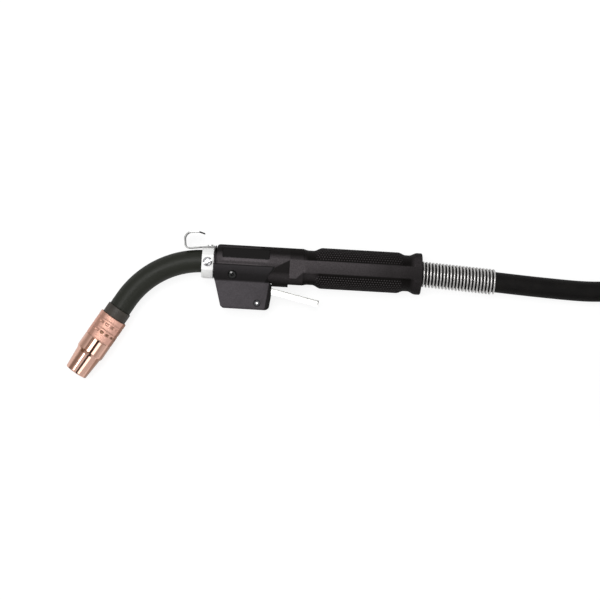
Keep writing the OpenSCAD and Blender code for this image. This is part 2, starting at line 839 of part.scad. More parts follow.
// The lever is a bent channel, open below, with a foot plate across its inner arm.
module trigger_lever() {
    half = lever_w / 2;
    color("#e9e9e6")
        torch_frame() {
            for (z = [-half, half - lever_t])
                translate([0, 0, z])
                    linear_extrude(lever_t)
                        lever_side();
            translate([0, 0, -half])
                linear_extrude(lever_w)
                    polygon([lever_root, lever_end,
                        [lever_end.x - 1.2, lever_end.y - lever_depth],
                        [lever_end.x - 1.2 - lever_t, lever_end.y - lever_depth],
                        [lever_end.x - lever_t, lever_end.y - lever_t],
                        [lever_root.x, lever_root.y - lever_t]]);
            translate([foot_u - 4, foot_v, -half])
                cube([8, lever_t, lever_w]);
        }
}

module pivot_pin() {
    color("#a7a9aa")
        torch_frame()
            cross_bar(pin_d / 2, pivot, -box_half_w + 1.1, box_half_w - 1.1);
}

switch_top = -floor_depth + 11;
switch_low = -floor_depth + box_wall + fit_gap;
switch_len = 20;
switch_gap = 2;
switch_front = screw_place.x - boss_r - switch_gap - switch_len;
switch_half_w = 3.2;
plunger_r = 1.3;

module switch_body() {
    color("#3a3530")
        torch_frame()
            difference() {
                translate([switch_front, switch_low, -switch_half_w])
                    cube([switch_len, switch_top - switch_low, 2 * switch_half_w]);
                translate([foot_u, switch_top + cut, 0])
                    rotate([90, 0, 0])
                        cylinder(r = plunger_r + slide_gap, h = 7.2);
            }
}

module switch_plunger() {
    color("#b03a2e")
        torch_frame()
            translate([foot_u, foot_v - slip_gap, 0])
                rotate([90, 0, 0]) {
                    translate([0, 0, 0.4])
                        cylinder(r = plunger_r, h = 8.4);
                    cylinder(r1 = plunger_r - 0.4, r2 = plunger_r, h = 0.4);
                }
}

// Centre line of the switch's return spring, up from the switch to the lever's foot.
return_r = 2.6;
return_wire = 0.6;
return_curls = 4;
return_line = [for (i = [0 : 8 * return_curls])
    let (a = 45 * i, rise = foot_v - switch_top - 2 * fit_gap - return_wire)
    [foot_u + return_r * cos(a),
    switch_top + fit_gap + return_wire / 2 + rise * i / (8 * return_curls), return_r * sin(a)]];

// Rings round a wound line about an axis: each ring's first corner points away from the axis.
function wound_rings(line, origin, axis, wire_r, sides = 6) =
    let (end = len(line) - 1)
    [for (i = [0 : end])
        let (out = line[i] - origin - ((line[i] - origin) * axis) * axis,
            dir = i == 0 ? line[1] - line[0] : i == end ? line[end] - line[end - 1]
                : line[i + 1] - line[i - 1])
        ring(line[i], unit(dir), out, wire_r, sides)];

module return_spring() {
    color("#9b9ea0")
        torch_frame()
            swept(wound_rings(return_line, [foot_u, 0, 0], [0, 1, 0], return_wire / 2));
}

terminal_levels = [for (k = [1 : 3]) switch_top - 2.5 * k];
lead_z = 1.6;
lead_r = 0.8;

module switch_terminals() {
    color("#c8b06a")
        torch_frame()
            for (v = terminal_levels)
                translate([switch_front - 5.5, v, -2.6])
                    cube([5.5, 0.6, 5.2]);
}

// Wires from the switch up into the handle's slot, each ending in a crimped splice.
module switch_leads() {
    splice_start = neck_grip - 16;
    path = [[switch_front - 3, terminal_levels[0] + 0.6 + lead_r], [switch_front - 3, -22],
        [switch_front + 6, -14], [splice_start + 1, -14]];
    color("#8a1f1f")
        torch_frame()
            for (z = [-lead_z, lead_z])
                translate([0, 0, z]) {
                    for (i = [0 : len(path) - 2])
                        let (run = path[i + 1] - path[i])
                            translate([path[i].x, path[i].y, 0])
                                rotate([0, 0, atan2(run.y, run.x)])
                                    bar(lead_r, 0, norm(run));
                    for (p = path)
                        translate([p.x, p.y, 0])
                            sphere(r = lead_r, $fn = 24);
                    translate([0, -14, 0])
                        bar(1.4, splice_start, splice_start + 8);
                }
}

// ---------------------------------------------------------------- cable end in the handle

connector_r = cavity_d / 2 - slip_gap;
connector_front = neck_grip - 6 + 2 * slide_gap;
connector_len = 60;
connector_back = connector_front + connector_len;
cable_set = 26;

module cable_connector() {
    color("#b58f45")
        torch_frame()
            difference() {
                turned([[0, connector_front], [connector_r - 1, connector_front],
                    [connector_r, connector_front + 1], [connector_r, connector_front + 14],
                    [10, connector_front + 18], [10, connector_back - 16],
                    [connector_r, connector_back - 14], [connector_r, connector_back - 1],
                    [connector_r - 1, connector_back], [0, connector_back]]);
                translate([0, neck_rise, 0])
                    bar(tube_d / 2 + fit_gap, connector_front - cut, neck_grip + fit_gap);
                translate([0, neck_rise, 0])
                    bar(tube_bore_d / 2, neck_grip - cut, connector_back + cut);
            }
}

module crimp_sleeve() {
    start = connector_back + fit_gap;
    end = handle_len - cable_set - fit_gap;
    crimps = [for (i = [1 : 2]) start + (end - start) * i / 3];
    color("#c07a4e")
        torch_frame()
            turned(concat([[4, start], [11, start], [11.5, start + 1]],
                [for (c = crimps) each [[11.5, c - 5], [10.6, c - 3], [10.6, c + 3], [11.5, c + 5]]],
                [[11.5, end - 1], [11, end], [4, end]]));
}

// ---------------------------------------------------------------- strain spring and cable

// Route of the free cable from the crimp sleeve to the coil, given from the handle's rear
// face with heights over the floor.
cable_route = [[-cable_set, 0, axis_h], [0, 0, axis_h], [38, -1.9, 17.9], [75, -3.8, 16.7],
    [124, -6.4, 14.2], [170, -7.6, 11.6], [204, -4.4, 10.4], [238, 2.6, 10.2],
    [270, 9.8, 10.2], [290, 13.2, 10.2], [302.6, 14, 10.2]];
spring_axis = unit(cable_route[3] - cable_route[1]);
spring_first = -seat_len + 1 + spring_wire / 2;
spring_last = spring_len - spring_wire / 2;
spring_r = (spring_d - spring_wire) / 2;
spring_side = unit(cross([0, 0, 1], spring_axis));
spring_up = cross(spring_axis, spring_side);
spring_curls = (spring_last - spring_first) / spring_pitch;
spring_line = [for (i = [0 : floor(8 * spring_curls)])
    let (s = spring_first + spring_pitch * i / 8, a = 45 * i)
    [0, 0, axis_h] + s * spring_axis + spring_r * (cos(a) * spring_up + sin(a) * spring_side)];
echo("strain spring, least gap to itself", least_gap(spring_line, 5, spring_wire));
echo("return spring, least gap to itself", least_gap(return_line, 5, return_wire));

module strain_spring() {
    color("#b9bcbe")
        floor_frame()
            swept(wound_rings(spring_line, [0, 0, axis_h], spring_axis, spring_wire / 2));
}

module power_cable() {
    color("#17171a")
        floor_frame()
            swept(route_rings(cable_route, cable_d / 2, 12));
}

// The coil lies in two layers: it winds in, climbs a layer while the spiral turns, and out.
coil_pitch = cable_d + 0.5;
coil_outer_r = coil_inner_r + coil_pitch * coil_turns / 2;
coil_lead = cable_d;
coil_centre = [323, 14 - coil_outer_r];
low_z = cable_d / 2;

function coil_point(t) =
    let (r = coil_inner_r + coil_pitch * abs(coil_turns / 2 - t),
        z = blend(low_z, low_z + coil_pitch, coil_turns / 2 - 0.25, coil_turns / 2 + 0.25, t))
    [coil_centre.x + r * sin(360 * t), coil_centre.y + r * cos(360 * t), z];

coil_line = concat([coil_point(0) - [coil_lead, 0, 0]],
    [for (i = [0 : 24 * coil_turns]) coil_point(i / 24)],
    [coil_point(coil_turns) + [coil_lead, 0, 0]]);
echo("cable coil, least gap to itself", least_gap(coil_line, 10, cable_d));

module cable_coil() {
    color("#17171a")
        floor_frame()
            swept(route_rings(coil_line, cable_d / 2, 6));
}

// Route from the coil's top layer down to the plug, chosen by hand.
plug_place = [418, 14, 21];
end_route = [[343.4, 14, 31.1], [358, 14, 30.6], [370, 14, 28.9], [382, 14, 26.2],
    [396, 14, 23.2], [408, 14, 21.5], plug_place];

module cable_end() {
    color("#17171a")
        floor_frame()
            swept(route_rings(end_route, cable_d / 2, 12));
}

// A strap pulled tight round the coil's turns on the side away from the plug.
module coil_tie() {
    t = 1.4;
    w = 20;
    r = 8;
    near = coil_inner_r + coil_pitch * 0.5 - cable_d / 2;
    far = near + coil_pitch + cable_d;
    height = coil_pitch + cable_d;
    color("#30343a")
        floor_frame()
            translate([coil_centre.x - w / 2, coil_centre.y - far, 0])
                rotate([90, 0, 90])
                    linear_extrude(w)
                        difference() {
                            rounded([-t, 0], [far - near + t, height + 2 * t], r + t);
                            rounded([0, t], [far - near, height + t], r);
                        }
}

// A rectangle from one corner to the other with round corners.
module rounded(low, high, r) {
    translate([low.x + r, low.y])
        square([high.x - low.x - 2 * r, high.y - low.y]);
    translate([low.x, low.y + r])
        square([high.x - low.x, high.y - low.y - 2 * r]);
    for (x = [low.x + r, high.x - r], y = [low.y + r, high.y - r])
        translate([x, y])
            circle(r = r);
}

// ---------------------------------------------------------------- plug

plug_front = boot_len + plug_len;
carrier_front = plug_front + 14;
contact_offset = 10.5;
spigot_seat_r = spigot_d / 2 - 0.5;

module plug_frame() {
    floor_frame()
        translate(plug_place)
            children();
}

module plug_boot() {
    rib_count = 5;
    rib_pitch = (boot_len - 8) / rib_count;
    ribs = [for (i = [0 : rib_count - 1])
        let (s = 4 + i * rib_pitch, r = 12.4 + 3 * s / boot_len)
        each [[r, s], [r, s + rib_pitch / 2], [r - 1.2, s + rib_pitch / 2 + 0.6],
            [r - 1.2, s + rib_pitch - 0.6]]];
    color("#1b1b1d")
        plug_frame()
            turned(concat([[0, 0], [11.6, 0]], ribs,
                [[15.6, boot_len - 4], [15.6, boot_len], [0, boot_len]]));
}

module plug_housing() {
    r = plug_d / 2;
    carrier_r = carrier_d / 2 + slide_gap;
    color("#202124")
        plug_frame()
            turned([[0, boot_len], [16, boot_len], [18.5, boot_len + 1], [r - 0.6, boot_len + 9],
                [r, boot_len + 11], [r, plug_front - 1], [r - 1, plug_front],
                [carrier_r, plug_front], [carrier_r, plug_front - 8], [0, plug_front - 8]]);
}

module plug_carrier() {
    color("#3b3c3f")
        plug_frame()
            difference() {
                turned([[0, plug_front - 7.9], [carrier_d / 2, plug_front - 7.9],
                    [carrier_d / 2, carrier_front - 0.8], [carrier_d / 2 - 0.8, carrier_front],
                    [0, carrier_front]]);
                bar(spigot_seat_r + fit_gap, plug_front - 4, carrier_front + cut);
                for (s = [-1, 1])
                    translate([0, s * contact_offset, 0])
                        bar(contact_d / 2 + slide_gap, plug_front + 0.5, carrier_front + cut);
            }
}

module plug_nut() {
    rib_count = 20;
    r = nut_d / 2;
    start = plug_front + slip_gap;
    color("#1d1e21")
        plug_frame()
            difference() {
                turned([[carrier_d / 2 + slip_gap, start], [r - 0.8, start], [r, start + 0.8],
                    [r, start + nut_len - 0.8], [r - 0.8, start + nut_len],
                    [carrier_d / 2 + slip_gap, start + nut_len]]);
                for (k = [0 : rib_count - 1])
                    rotate([360 * k / rib_count, 0, 0])
                        translate([0, 0, r + 0.6])
                            bar(1.6, start - cut, start + nut_len - 4);
            }
}

module plug_spigot() {
    color("#c29a48")
        plug_frame()
            turned([[1.6, plug_front - 4 + fit_gap], [spigot_seat_r, plug_front - 4 + fit_gap],
                [spigot_seat_r, carrier_front + fit_gap], [spigot_d / 2, carrier_front + fit_gap],
                [spigot_d / 2, carrier_front + 15.2], [spigot_d / 2 - 0.8, carrier_front + 16],
                [1.6, carrier_front + 16]]);
}

// The two control pins spring back into the carrier.
module plug_pin(side) {
    color("#c9a250")
        plug_frame()
            translate([0, side * contact_offset, 0])
                turned([[0, plug_front + 4], [contact_d / 2, plug_front + 4],
                    [contact_d / 2, carrier_front + 4], [contact_d / 2 - 1, carrier_front + 5],
                    [0, carrier_front + 5]]);
}

module plug_pin_upper() {
    plug_pin(1);
}

module plug_pin_lower() {
    plug_pin(-1);
}

nozzle();
nozzle_insulator();
gas_diffuser();
contact_tip();
conductor_tube();
tube_jacket();
wire_liner();
neck_clamp();
clamp_screw();
hanger_hook();
hook_screw();
handle_body();
label_plate();
trigger_housing_left();
trigger_housing_right();
housing_bolts();
housing_screw();
housing_nut();
trigger_lever();
pivot_pin();
switch_body();
switch_plunger();
return_spring();
switch_terminals();
switch_leads();
cable_connector();
crimp_sleeve();
strain_spring();
power_cable();
cable_coil();
cable_end();
coil_tie();
plug_boot();
plug_housing();
plug_carrier();
plug_nut();
plug_spigot();
plug_pin_upper();
plug_pin_lower();
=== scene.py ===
import math

import bmesh
import bpy
import numpy as np
from mathutils import Matrix, Vector


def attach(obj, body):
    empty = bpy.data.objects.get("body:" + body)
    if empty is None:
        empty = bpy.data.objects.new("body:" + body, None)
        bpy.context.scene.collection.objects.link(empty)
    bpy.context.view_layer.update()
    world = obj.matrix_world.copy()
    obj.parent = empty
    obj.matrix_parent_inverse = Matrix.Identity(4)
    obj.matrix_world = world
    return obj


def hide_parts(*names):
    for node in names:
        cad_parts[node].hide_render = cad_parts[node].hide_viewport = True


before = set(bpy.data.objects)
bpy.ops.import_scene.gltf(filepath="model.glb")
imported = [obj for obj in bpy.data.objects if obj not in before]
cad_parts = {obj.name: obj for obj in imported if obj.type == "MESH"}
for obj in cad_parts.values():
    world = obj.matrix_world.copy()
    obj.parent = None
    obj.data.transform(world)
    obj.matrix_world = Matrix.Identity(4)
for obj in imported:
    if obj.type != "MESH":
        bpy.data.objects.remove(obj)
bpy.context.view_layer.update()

# ---------------------------------------------------------------- camera
# The torch lies on its side and is seen from straight above, from 1.5 m away. Places on it
# are (u, v, w): back along the handle, towards the hook, and up from the handle's axis, in
# millimetres. at() and back_of() put them into the frame.
CENTRE = np.array([69.2908, -46.5624, -18.9])
HANDLE_LEN = 206.2
VIEW_CENTRE, VIEW_WIDTH = (87.1, -32.75), 600
VIEW_HALF_ANGLE, VIEW_TURN = math.radians(11.3), math.radians(3.3)
SENSOR_WIDTH = 36


def at(points):
    """Frame metres of points (u, v, w) in millimetres: less the torch's centre, by 0.001."""
    return (np.asarray(points, float) - CENTRE) / 1000


def back_of(points):
    """Frame metres of points given from the handle's rear face, with heights over the floor."""
    return at(np.asarray(points, float) + [HANDLE_LEN, 0, CENTRE[2]])


camera_data = bpy.data.cameras.new("camera")
camera_data.sensor_width = SENSOR_WIDTH
camera_data.lens = SENSOR_WIDTH / 2 / math.tan(VIEW_HALF_ANGLE)
camera = bpy.data.objects.new("camera", camera_data)
camera.location = Vector(at([*VIEW_CENTRE, VIEW_WIDTH / 2 / math.tan(VIEW_HALF_ANGLE)]))
camera.rotation_euler = (0, 0, VIEW_TURN)
bpy.context.scene.collection.objects.link(camera)
bpy.context.scene.camera = camera
bpy.context.scene.view_settings.view_transform = "Standard"

# ---------------------------------------------------------------- power cable
# A round rubber-sheathed power cable, 20.4 mm thick and 3.0 m long. It runs straight out
# through the strain spring, down to the bench, and is wound into a two-layer coil.
CABLE_D = 20.4
CABLE_OUT = [[-26, 0, 18.9], [0, 0, 18.9], [38, -1.9, 17.9], [75, -3.8, 16.7],
             [124, -6.4, 14.2], [170, -7.6, 11.6], [204, -4.4, 10.4], [238, 2.6, 10.2],
             [270, 9.8, 10.2], [290, 13.2, 10.2]]
CABLE_BACK = [[358, 14, 30.6], [370, 14, 28.9], [382, 14, 26.2], [396, 14, 23.2],
              [408, 14, 21.5], [418, 14, 21]]
COIL_TURNS, COIL_INNER_R, COIL_PITCH = 4, 82, 20.9
TURN_STEPS, BEND_STEPS = 72, 8
COIL_CENTRE = [323, 14 - COIL_INNER_R - COIL_PITCH * COIL_TURNS / 2]


def ease(t):
    """A step from 0 to 1 with level ends: three squares less two cubes."""
    t = np.clip(t, 0, 1)
    return t * t * (3 - 2 * t)


def coil_line(t):
    """The coil after t turns: the radius falls a pitch a turn to the middle and grows again,
    and the height climbs one pitch while t passes the middle."""
    half = COIL_TURNS / 2
    r = COIL_INNER_R + COIL_PITCH * np.abs(half - t)
    z = CABLE_D / 2 + COIL_PITCH * ease((t - half + 0.25) / 0.5)
    a = 2 * math.pi * t
    return np.stack([COIL_CENTRE[0] + r * np.sin(a), COIL_CENTRE[1] + r * np.cos(a), z], 1)


def smooth_line(points, steps):
    """A curve through points: between two of them it is the cubic whose slope at each point is
    half the step from the point before to the point after."""
    p = np.asarray(points, float)
    slope = np.vstack([p[1:2] - p[:1], (p[2:] - p[:-2]) / 2, p[-1:] - p[-2:-1]])
    t = np.linspace(0, 1, steps, endpoint=False)[None, :, None]
    a, b, da, db = p[:-1, None], p[1:, None], slope[:-1, None], slope[1:, None]
    curve = (a * (1 + 2 * t) * (1 - t) ** 2 + da * t * (1 - t) ** 2
             + b * t * t * (3 - 2 * t) + db * t * t * (t - 1))
    return np.vstack([curve.reshape(-1, 3), p[-1:]])


def sweep(path, lead, outline):
    """An outline of (side, up) offsets carried along a path. up is lead less its share along
    the path, and side is square to both. The outline may change from place to place."""
    along = np.gradient(path, axis=0)
    along /= np.linalg.norm(along, axis=1, keepdims=True)
    up = lead - (lead * along).sum(1, keepdims=True) * along
    up /= np.linalg.norm(up, axis=1, keepdims=True)
    side = np.cross(along, up)
    return (path[:, None] + outline[..., :1] * side[:, None] + outline[..., 1:] * up[:, None])


def rim(count, radius=1.0):
    """A circle as (side, up) offsets: the radius by the cosine and sine of equal angles."""
    a = np.arange(count) * 2 * math.pi / count
    return np.stack([np.cos(a), np.sin(a)], -1) * np.asarray(radius)[..., None, None]


def skin(name, grid, ring=False, sharp=35, along=None, worn=None):
    """A closed surface through a grid of points. Each row is a loop; with ring the last row
    joins the first, and otherwise each end closes on its row's middle. along gives the rows'
    places for the UV map, whose other number is the share of the way round. worn gives each
    point of a ring's grid a number that its material can read."""
    if not ring:
        middles = [np.repeat(grid[i].mean(0)[None, None], grid.shape[1], 1) for i in (0, -1)]
        grid = np.concatenate([middles[0], grid, middles[1]])
    rows, columns = grid.shape[:2]
    i, j = np.meshgrid(np.arange(rows if ring else rows - 1), np.arange(columns), indexing="ij")
    i, j = i.ravel(), j.ravel()
    up, on = (i + 1) % rows, (j + 1) % columns
    corners = np.stack([i * columns + j, i * columns + on, up * columns + on, up * columns + j])
    mesh = bpy.data.meshes.new(name)
    mesh.from_pydata(grid.reshape(-1, 3).tolist(), [], corners.T.tolist())
    if along is not None:
        along = along if ring else np.concatenate([along[:1], along, along[-1:]])
        share = np.stack([j, j + 1, j + 1, j], 1) / columns
        place = np.stack([along[i], along[i], along[up], along[up]], 1)
        layer = mesh.uv_layers.new(name="along")
        layer.data.foreach_set("uv", np.stack([share, place], -1).astype(np.float32).ravel())
    # The nozzle stores its dents and grooves here for their stain, and the handle stores its dome
    # tops for their painted highlights.
    if worn is not None:
        values = mesh.attributes.new("worn", "FLOAT", "POINT")
        values.data.foreach_set("value", np.asarray(worn, np.float32).ravel())
    work = bmesh.new()
    work.from_mesh(mesh)
    bmesh.ops.remove_doubles(work, verts=work.verts, dist=1e-7)
    bmesh.ops.recalc_face_normals(work, faces=work.faces)
    work.to_mesh(mesh)
    work.free()
    mesh.polygons.foreach_set("use_smooth", [True] * len(mesh.polygons))
    mesh.set_sharp_from_angle(angle=math.radians(sharp))
    piece = bpy.data.objects.new(name, mesh)
    bpy.context.scene.collection.objects.link(piece)
    return piece


class Wire:
    """A node's output. An operator on wires and numbers adds a Math node."""

    def __init__(self, recipe, socket):
        self.recipe, self.socket = recipe, socket

    def math(self, operation, *values):
        return self.recipe.node("ShaderNodeMath", {"operation": operation}, dict(enumerate(values)))

    def __add__(self, other):
        return self.math("ADD", self, other)

    def __sub__(self, other):
        return self.math("SUBTRACT", self, other)

    def __rsub__(self, other):
        return self.math("SUBTRACT", other, self)

    def __mul__(self, other):
        return self.math("MULTIPLY", self, other)

    def __abs__(self):
        return self.math("ABSOLUTE", self)

    __radd__ = __add__
    __rmul__ = __mul__

    def above(self, level, width):
        """0 below the level, 1 above it, changing over the width."""
        return ((self - level) * (1 / width) + 0.5).clamped()

    def within(self, low, high, width):
        """1 between two levels and 0 outside them, changing over the width at each."""
        return self.above(low, width) * (1 - self.above(high, width))

    def clamped(self):
        return self.math("MINIMUM", self.math("MAXIMUM", self, 0), 1)


class Recipe:
    """The nodes and links of a material or of the world."""

    def __init__(self, tree):
        self.nodes, self.links = tree.nodes, tree.links

    def node(self, kind, settings=None, inputs=None, out=0):
        """Adds a node: its settings first, then the values or wires of its sockets."""
        node = self.nodes.new(kind)
        for key, value in (settings or {}).items():
            if key == "stops":
                ramp = node.color_ramp.elements
                while len(ramp) < len(value):
                    ramp.new(0.5)
                for element, (position, colour) in zip(ramp, value):
                    element.position, element.color = position, (*colour, 1)
            else:
                setattr(node, key, value)
        for key, value in (inputs or {}).items():
            self.feed(node.inputs[key], value)
        return Wire(self, node.outputs[out])

    def feed(self, socket, value):
        """Gives a socket a wire, a colour or a number."""
        if isinstance(value, Wire):
            self.links.new(value.socket, socket)
        elif socket.type == "RGBA":
            socket.default_value = (*value, 1)
        else:
            socket.default_value = value

    def tint(self, share, low, high):
        """A colour between two others."""
        return self.node("ShaderNodeMix", {"data_type": "RGBA"},
                         {0: share, 6: low, 7: high}, out=2)


class Finish(Recipe):
    """One material. Values that never change are set on the shader; wires change the rest."""

    def __init__(self, name, **constants):
        self.material = bpy.data.materials.new(name)
        self.material.use_nodes = True
        super().__init__(self.material.node_tree)
        self.shader = self.nodes["Principled BSDF"]
        self.set(**constants)

    def set(self, **values):
        """Feeds the shader's sockets, which are named in small letters."""
        for key, value in values.items():
            title = key.replace("_", " ").title().replace("Ior", "IOR")
            self.feed(self.shader.inputs[title], value)
        return self

    def place(self, scale=(1, 1, 1), turn=(0, 0, 0), shift=(0, 0, 0), of="Object"):
        """Object or UV coordinates, shifted, turned and scaled."""
        start = self.node("ShaderNodeTexCoord", out=of)
        return self.node("ShaderNodeMapping", {"vector_type": "TEXTURE"},
                         {"Vector": start, "Location": shift, "Rotation": turn,
                          "Scale": [1 / s for s in scale]})

    def parts(self, vector):
        """The x, y and z of a vector."""
        node = self.node("ShaderNodeSeparateXYZ", inputs={0: vector})
        return [Wire(self, s) for s in node.socket.node.outputs]

    def worn(self):
        """The number that skin() stored at each point, and 0 on a piece without it."""
        return self.node("ShaderNodeAttribute", {"attribute_name": "worn"}, out="Fac")

    def noise(self, vector, scale, detail=3, rough=0.55):
        """Cloudy noise from 0 to 1, with features about 1 / scale metres wide."""
        return self.node("ShaderNodeTexNoise", None,
                         {"Vector": vector, "Scale": scale, "Detail": detail, "Roughness": rough})

    def relief(self, height, depth):
        """Small relief: a bump of the height, depth metres high."""
        return self.node("ShaderNodeBump", None,
                         {"Height": height, "Distance": depth, "Strength": 1.0})

    def on(self, *pieces):
        """Puts the material on pieces or on CAD nodes."""
        for piece in pieces:
            if isinstance(piece, str):
                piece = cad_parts[piece]
            piece.data.materials.clear()
            piece.data.materials.append(self.material)
        return self


def ride(piece, body, slot, *nodes):
    """A piece that moves with a body and stands for nodes, which it hides. slot is not used."""
    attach(piece, body)
    if nodes:
        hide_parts(*nodes)
    return piece


coil_start, coil_end = coil_line(np.array([0.0, COIL_TURNS]))
coil_lead = [CABLE_D, 0, 0]
cable_path = back_of(np.vstack([
    smooth_line(CABLE_OUT + [coil_start - coil_lead, coil_start], BEND_STEPS)[:-1],
    coil_line(np.linspace(0, COIL_TURNS, TURN_STEPS * COIL_TURNS + 1)),
    smooth_line([coil_end, coil_end + coil_lead] + CABLE_BACK, BEND_STEPS)[1:]]))
cable_steps = np.linalg.norm(np.diff(cable_path, axis=0), axis=1)
cable_along = np.concatenate([[0], np.cumsum(cable_steps)])
UP = np.array([0.0, 0.0, 1.0])
cable = skin("power_cable_sheath",
             sweep(cable_path, UP, rim(40, np.full(len(cable_path), CABLE_D / 2000))),
             along=cable_along)
ride(cable, "torch", "cable_rubber", "power_cable", "cable_coil", "cable_end")

CLEAN_RUBBER, DUSTY_RUBBER = (0.003, 0.0027, 0.0027), (0.012, 0.0105, 0.0095)
sheath = Finish("cable_sheath", specular_ior_level=0.1)
lengthways = sheath.place(scale=(90, 6, 1), of="UV")
drag = sheath.noise(lengthways, 1.0, detail=4)
dust = sheath.noise(sheath.place(), 60, detail=5).above(0.58, 0.3)
grain = sheath.noise(sheath.place(), 1800, detail=2)
sheath.set(base_color=sheath.tint(dust * 0.5 + drag * 0.3, CLEAN_RUBBER, DUSTY_RUBBER),
           roughness=0.42 + drag * 0.22 + dust * 0.12,
           normal=sheath.relief(grain * 0.5 + drag * 1.5, 0.00006))
sheath.on(cable)

# ---------------------------------------------------------------- bench and light
# A plain white bench top that keeps a faint shadow, a large soft lamp over it, two smaller
# ones at its sides, and pale screens all round with one dark gap between them. Each lamp is
# turned so that its first side lies along the nozzle.
BENCH_HALF = 12
BENCH_WHITE, BENCH_GLOW, GLOW_SHARE = (0.86, 0.86, 0.86), 1.16, 0.72
WHITE = (1, 1, 1)
GAP_SIDE = (0.433, -0.25, 0)
SCREEN_GREYS = ((0, 1), (0.525, 1), (0.54, 0.1), (0.68, 0.1), (0.71, 1), (1, 1))
ROOM_LEVEL, SEEN_EXTRA, MIRRORED_EXTRA = 0.5, 0.5, 0.15
NOZZLE_SIDE = Vector((-0.5, -0.866, 0))
LAMPS = (("lamp_over", (-0.28, 0.50, 2.3), (1.7, 0.85), 27),
         ("lamp_side", (0.78, -1.0, 2.0), (1.3, 0.9), 5.5),
         ("lamp_end", (-1.45, 0.1, 2.3), (0.4, 0.5), 3))

bench_mesh = bpy.data.meshes.new("bench")
bench_mesh.from_pydata([(-BENCH_HALF, -BENCH_HALF, 0), (BENCH_HALF, -BENCH_HALF, 0),
                        (BENCH_HALF, BENCH_HALF, 0), (-BENCH_HALF, BENCH_HALF, 0)],
                       [], [(0, 1, 2, 3)])
bench = bpy.data.objects.new("bench", bench_mesh)
bpy.context.scene.collection.objects.link(bench)
top = Finish("bench_top", base_color=BENCH_WHITE, roughness=0.9, specular_ior_level=0.1)
seen = top.node("ShaderNodeLightPath", out="Is Camera Ray")
glow = top.node("ShaderNodeEmission", None, {"Color": WHITE, "Strength": BENCH_GLOW})
mixed = top.node("ShaderNodeMixShader", None,
                 {0: seen * GLOW_SHARE, 1: Wire(top, top.shader.outputs[0]), 2: glow})
top.feed(top.nodes["Material Output"].inputs["Surface"], mixed)
top.on(bench)

world = bpy.data.worlds.new("room")
bpy.context.scene.world = world
world.use_nodes = True
room = Recipe(world.node_tree)
seen = room.node("ShaderNodeLightPath", out="Is Camera Ray")
mirrored = room.node("ShaderNodeLightPath", out="Is Glossy Ray")
lean = room.node("ShaderNodeVectorMath", {"operation": "DOT_PRODUCT"},
                 {0: room.node("ShaderNodeTexCoord", out="Generated"), 1: GAP_SIDE}, out="Value")
screens = room.node("ShaderNodeValToRGB",
                    {"stops": [(place, (grey,) * 3) for place, grey in SCREEN_GREYS]},
                    {"Fac": lean + 0.5})
sky = room.nodes["Background"].inputs
room.feed(sky["Color"], room.tint(seen, screens, WHITE))
room.feed(sky["Strength"], seen * SEEN_EXTRA + mirrored * MIRRORED_EXTRA + ROOM_LEVEL)

for lamp_name, place, size, watts in LAMPS:
    lamp_data = bpy.data.lights.new(lamp_name, "AREA")
    lamp_data.shape = "RECTANGLE"
    lamp_data.size, lamp_data.size_y = size
    lamp_data.energy = watts
    lamp = bpy.data.objects.new(lamp_name, lamp_data)
    lamp.location = place
    away = Vector(place).normalized()
    side = (NOZZLE_SIDE - away * NOZZLE_SIDE.dot(away)).normalized()
    lamp.rotation_euler = Matrix((side, away.cross(side), away)).transposed().to_euler()
    bpy.context.scene.collection.objects.link(lamp)

# ---------------------------------------------------------------- strain-relief spring
# Bright spring wire, 1.9 mm thick, wound round the cable and seated in the handle's rear. It
# keeps the cable from kinking where it leaves the hand.
WIRE_D, SPRING_D, SPRING_PITCH, SPRING_FROM, SPRING_TO = 1.9, 25.8, 3.37, -8.05, 73.65
SPRING_HEIGHT, SPRING_LEAN = 18.9, [75, -3.8, -2.2]
WIRE_DULL, WIRE_BRIGHT = (0.52, 0.51, 0.50), (0.70, 0.69, 0.68)


def helix(start, axis, lead, radius, pitch, length, steps=36):
    """A wound line and its outward directions: at the angle a it stands the radius from the
    axis, and it moves on by the pitch for each turn."""
    a = np.arange(0, 2 * math.pi * length / pitch, 2 * math.pi / steps)[:, None]
    side = np.cross(axis, lead)
    outward = np.cos(a) * lead + np.sin(a) * side
    return start + radius * outward + pitch * a / (2 * math.pi) * axis, outward


def unit(vector):
    """The vector over its length."""
    vector = np.asarray(vector, float)
    return vector / np.linalg.norm(vector)


spring_axis = unit(SPRING_LEAN)
spring_lead = np.cross(spring_axis, unit(np.cross(UP, spring_axis)))
spring_line, spring_out = helix(SPRING_HEIGHT * UP + SPRING_FROM * spring_axis, spring_axis,
                                spring_lead, (SPRING_D - WIRE_D) / 2, SPRING_PITCH,
                                SPRING_TO - SPRING_FROM)
wire_r = np.full(len(spring_line), WIRE_D / 2000)
wire_r[[0, -1]] *= 0.6
spring = skin("strain_spring_wire", sweep(back_of(spring_line), spring_out, rim(14, wire_r)))
ride(spring, "torch", "strain_spring_steel", "strain_spring")

bright = Finish("bright_spring_wire", metallic=1.0)
wear = bright.noise(bright.place(), 500, detail=4)
bright.set(base_color=bright.tint(wear.above(0.5, 0.5), WIRE_DULL, WIRE_BRIGHT),
           roughness=0.24 + wear * 0.14)
bright.on(spring)

# ---------------------------------------------------------------- handle
# One moulding of black glass-filled nylon. The front body carries the label's seat and the
# cheeks behind the trigger housing; a flat smooth band runs along each side, and small
# domes cover the grip over and under it.


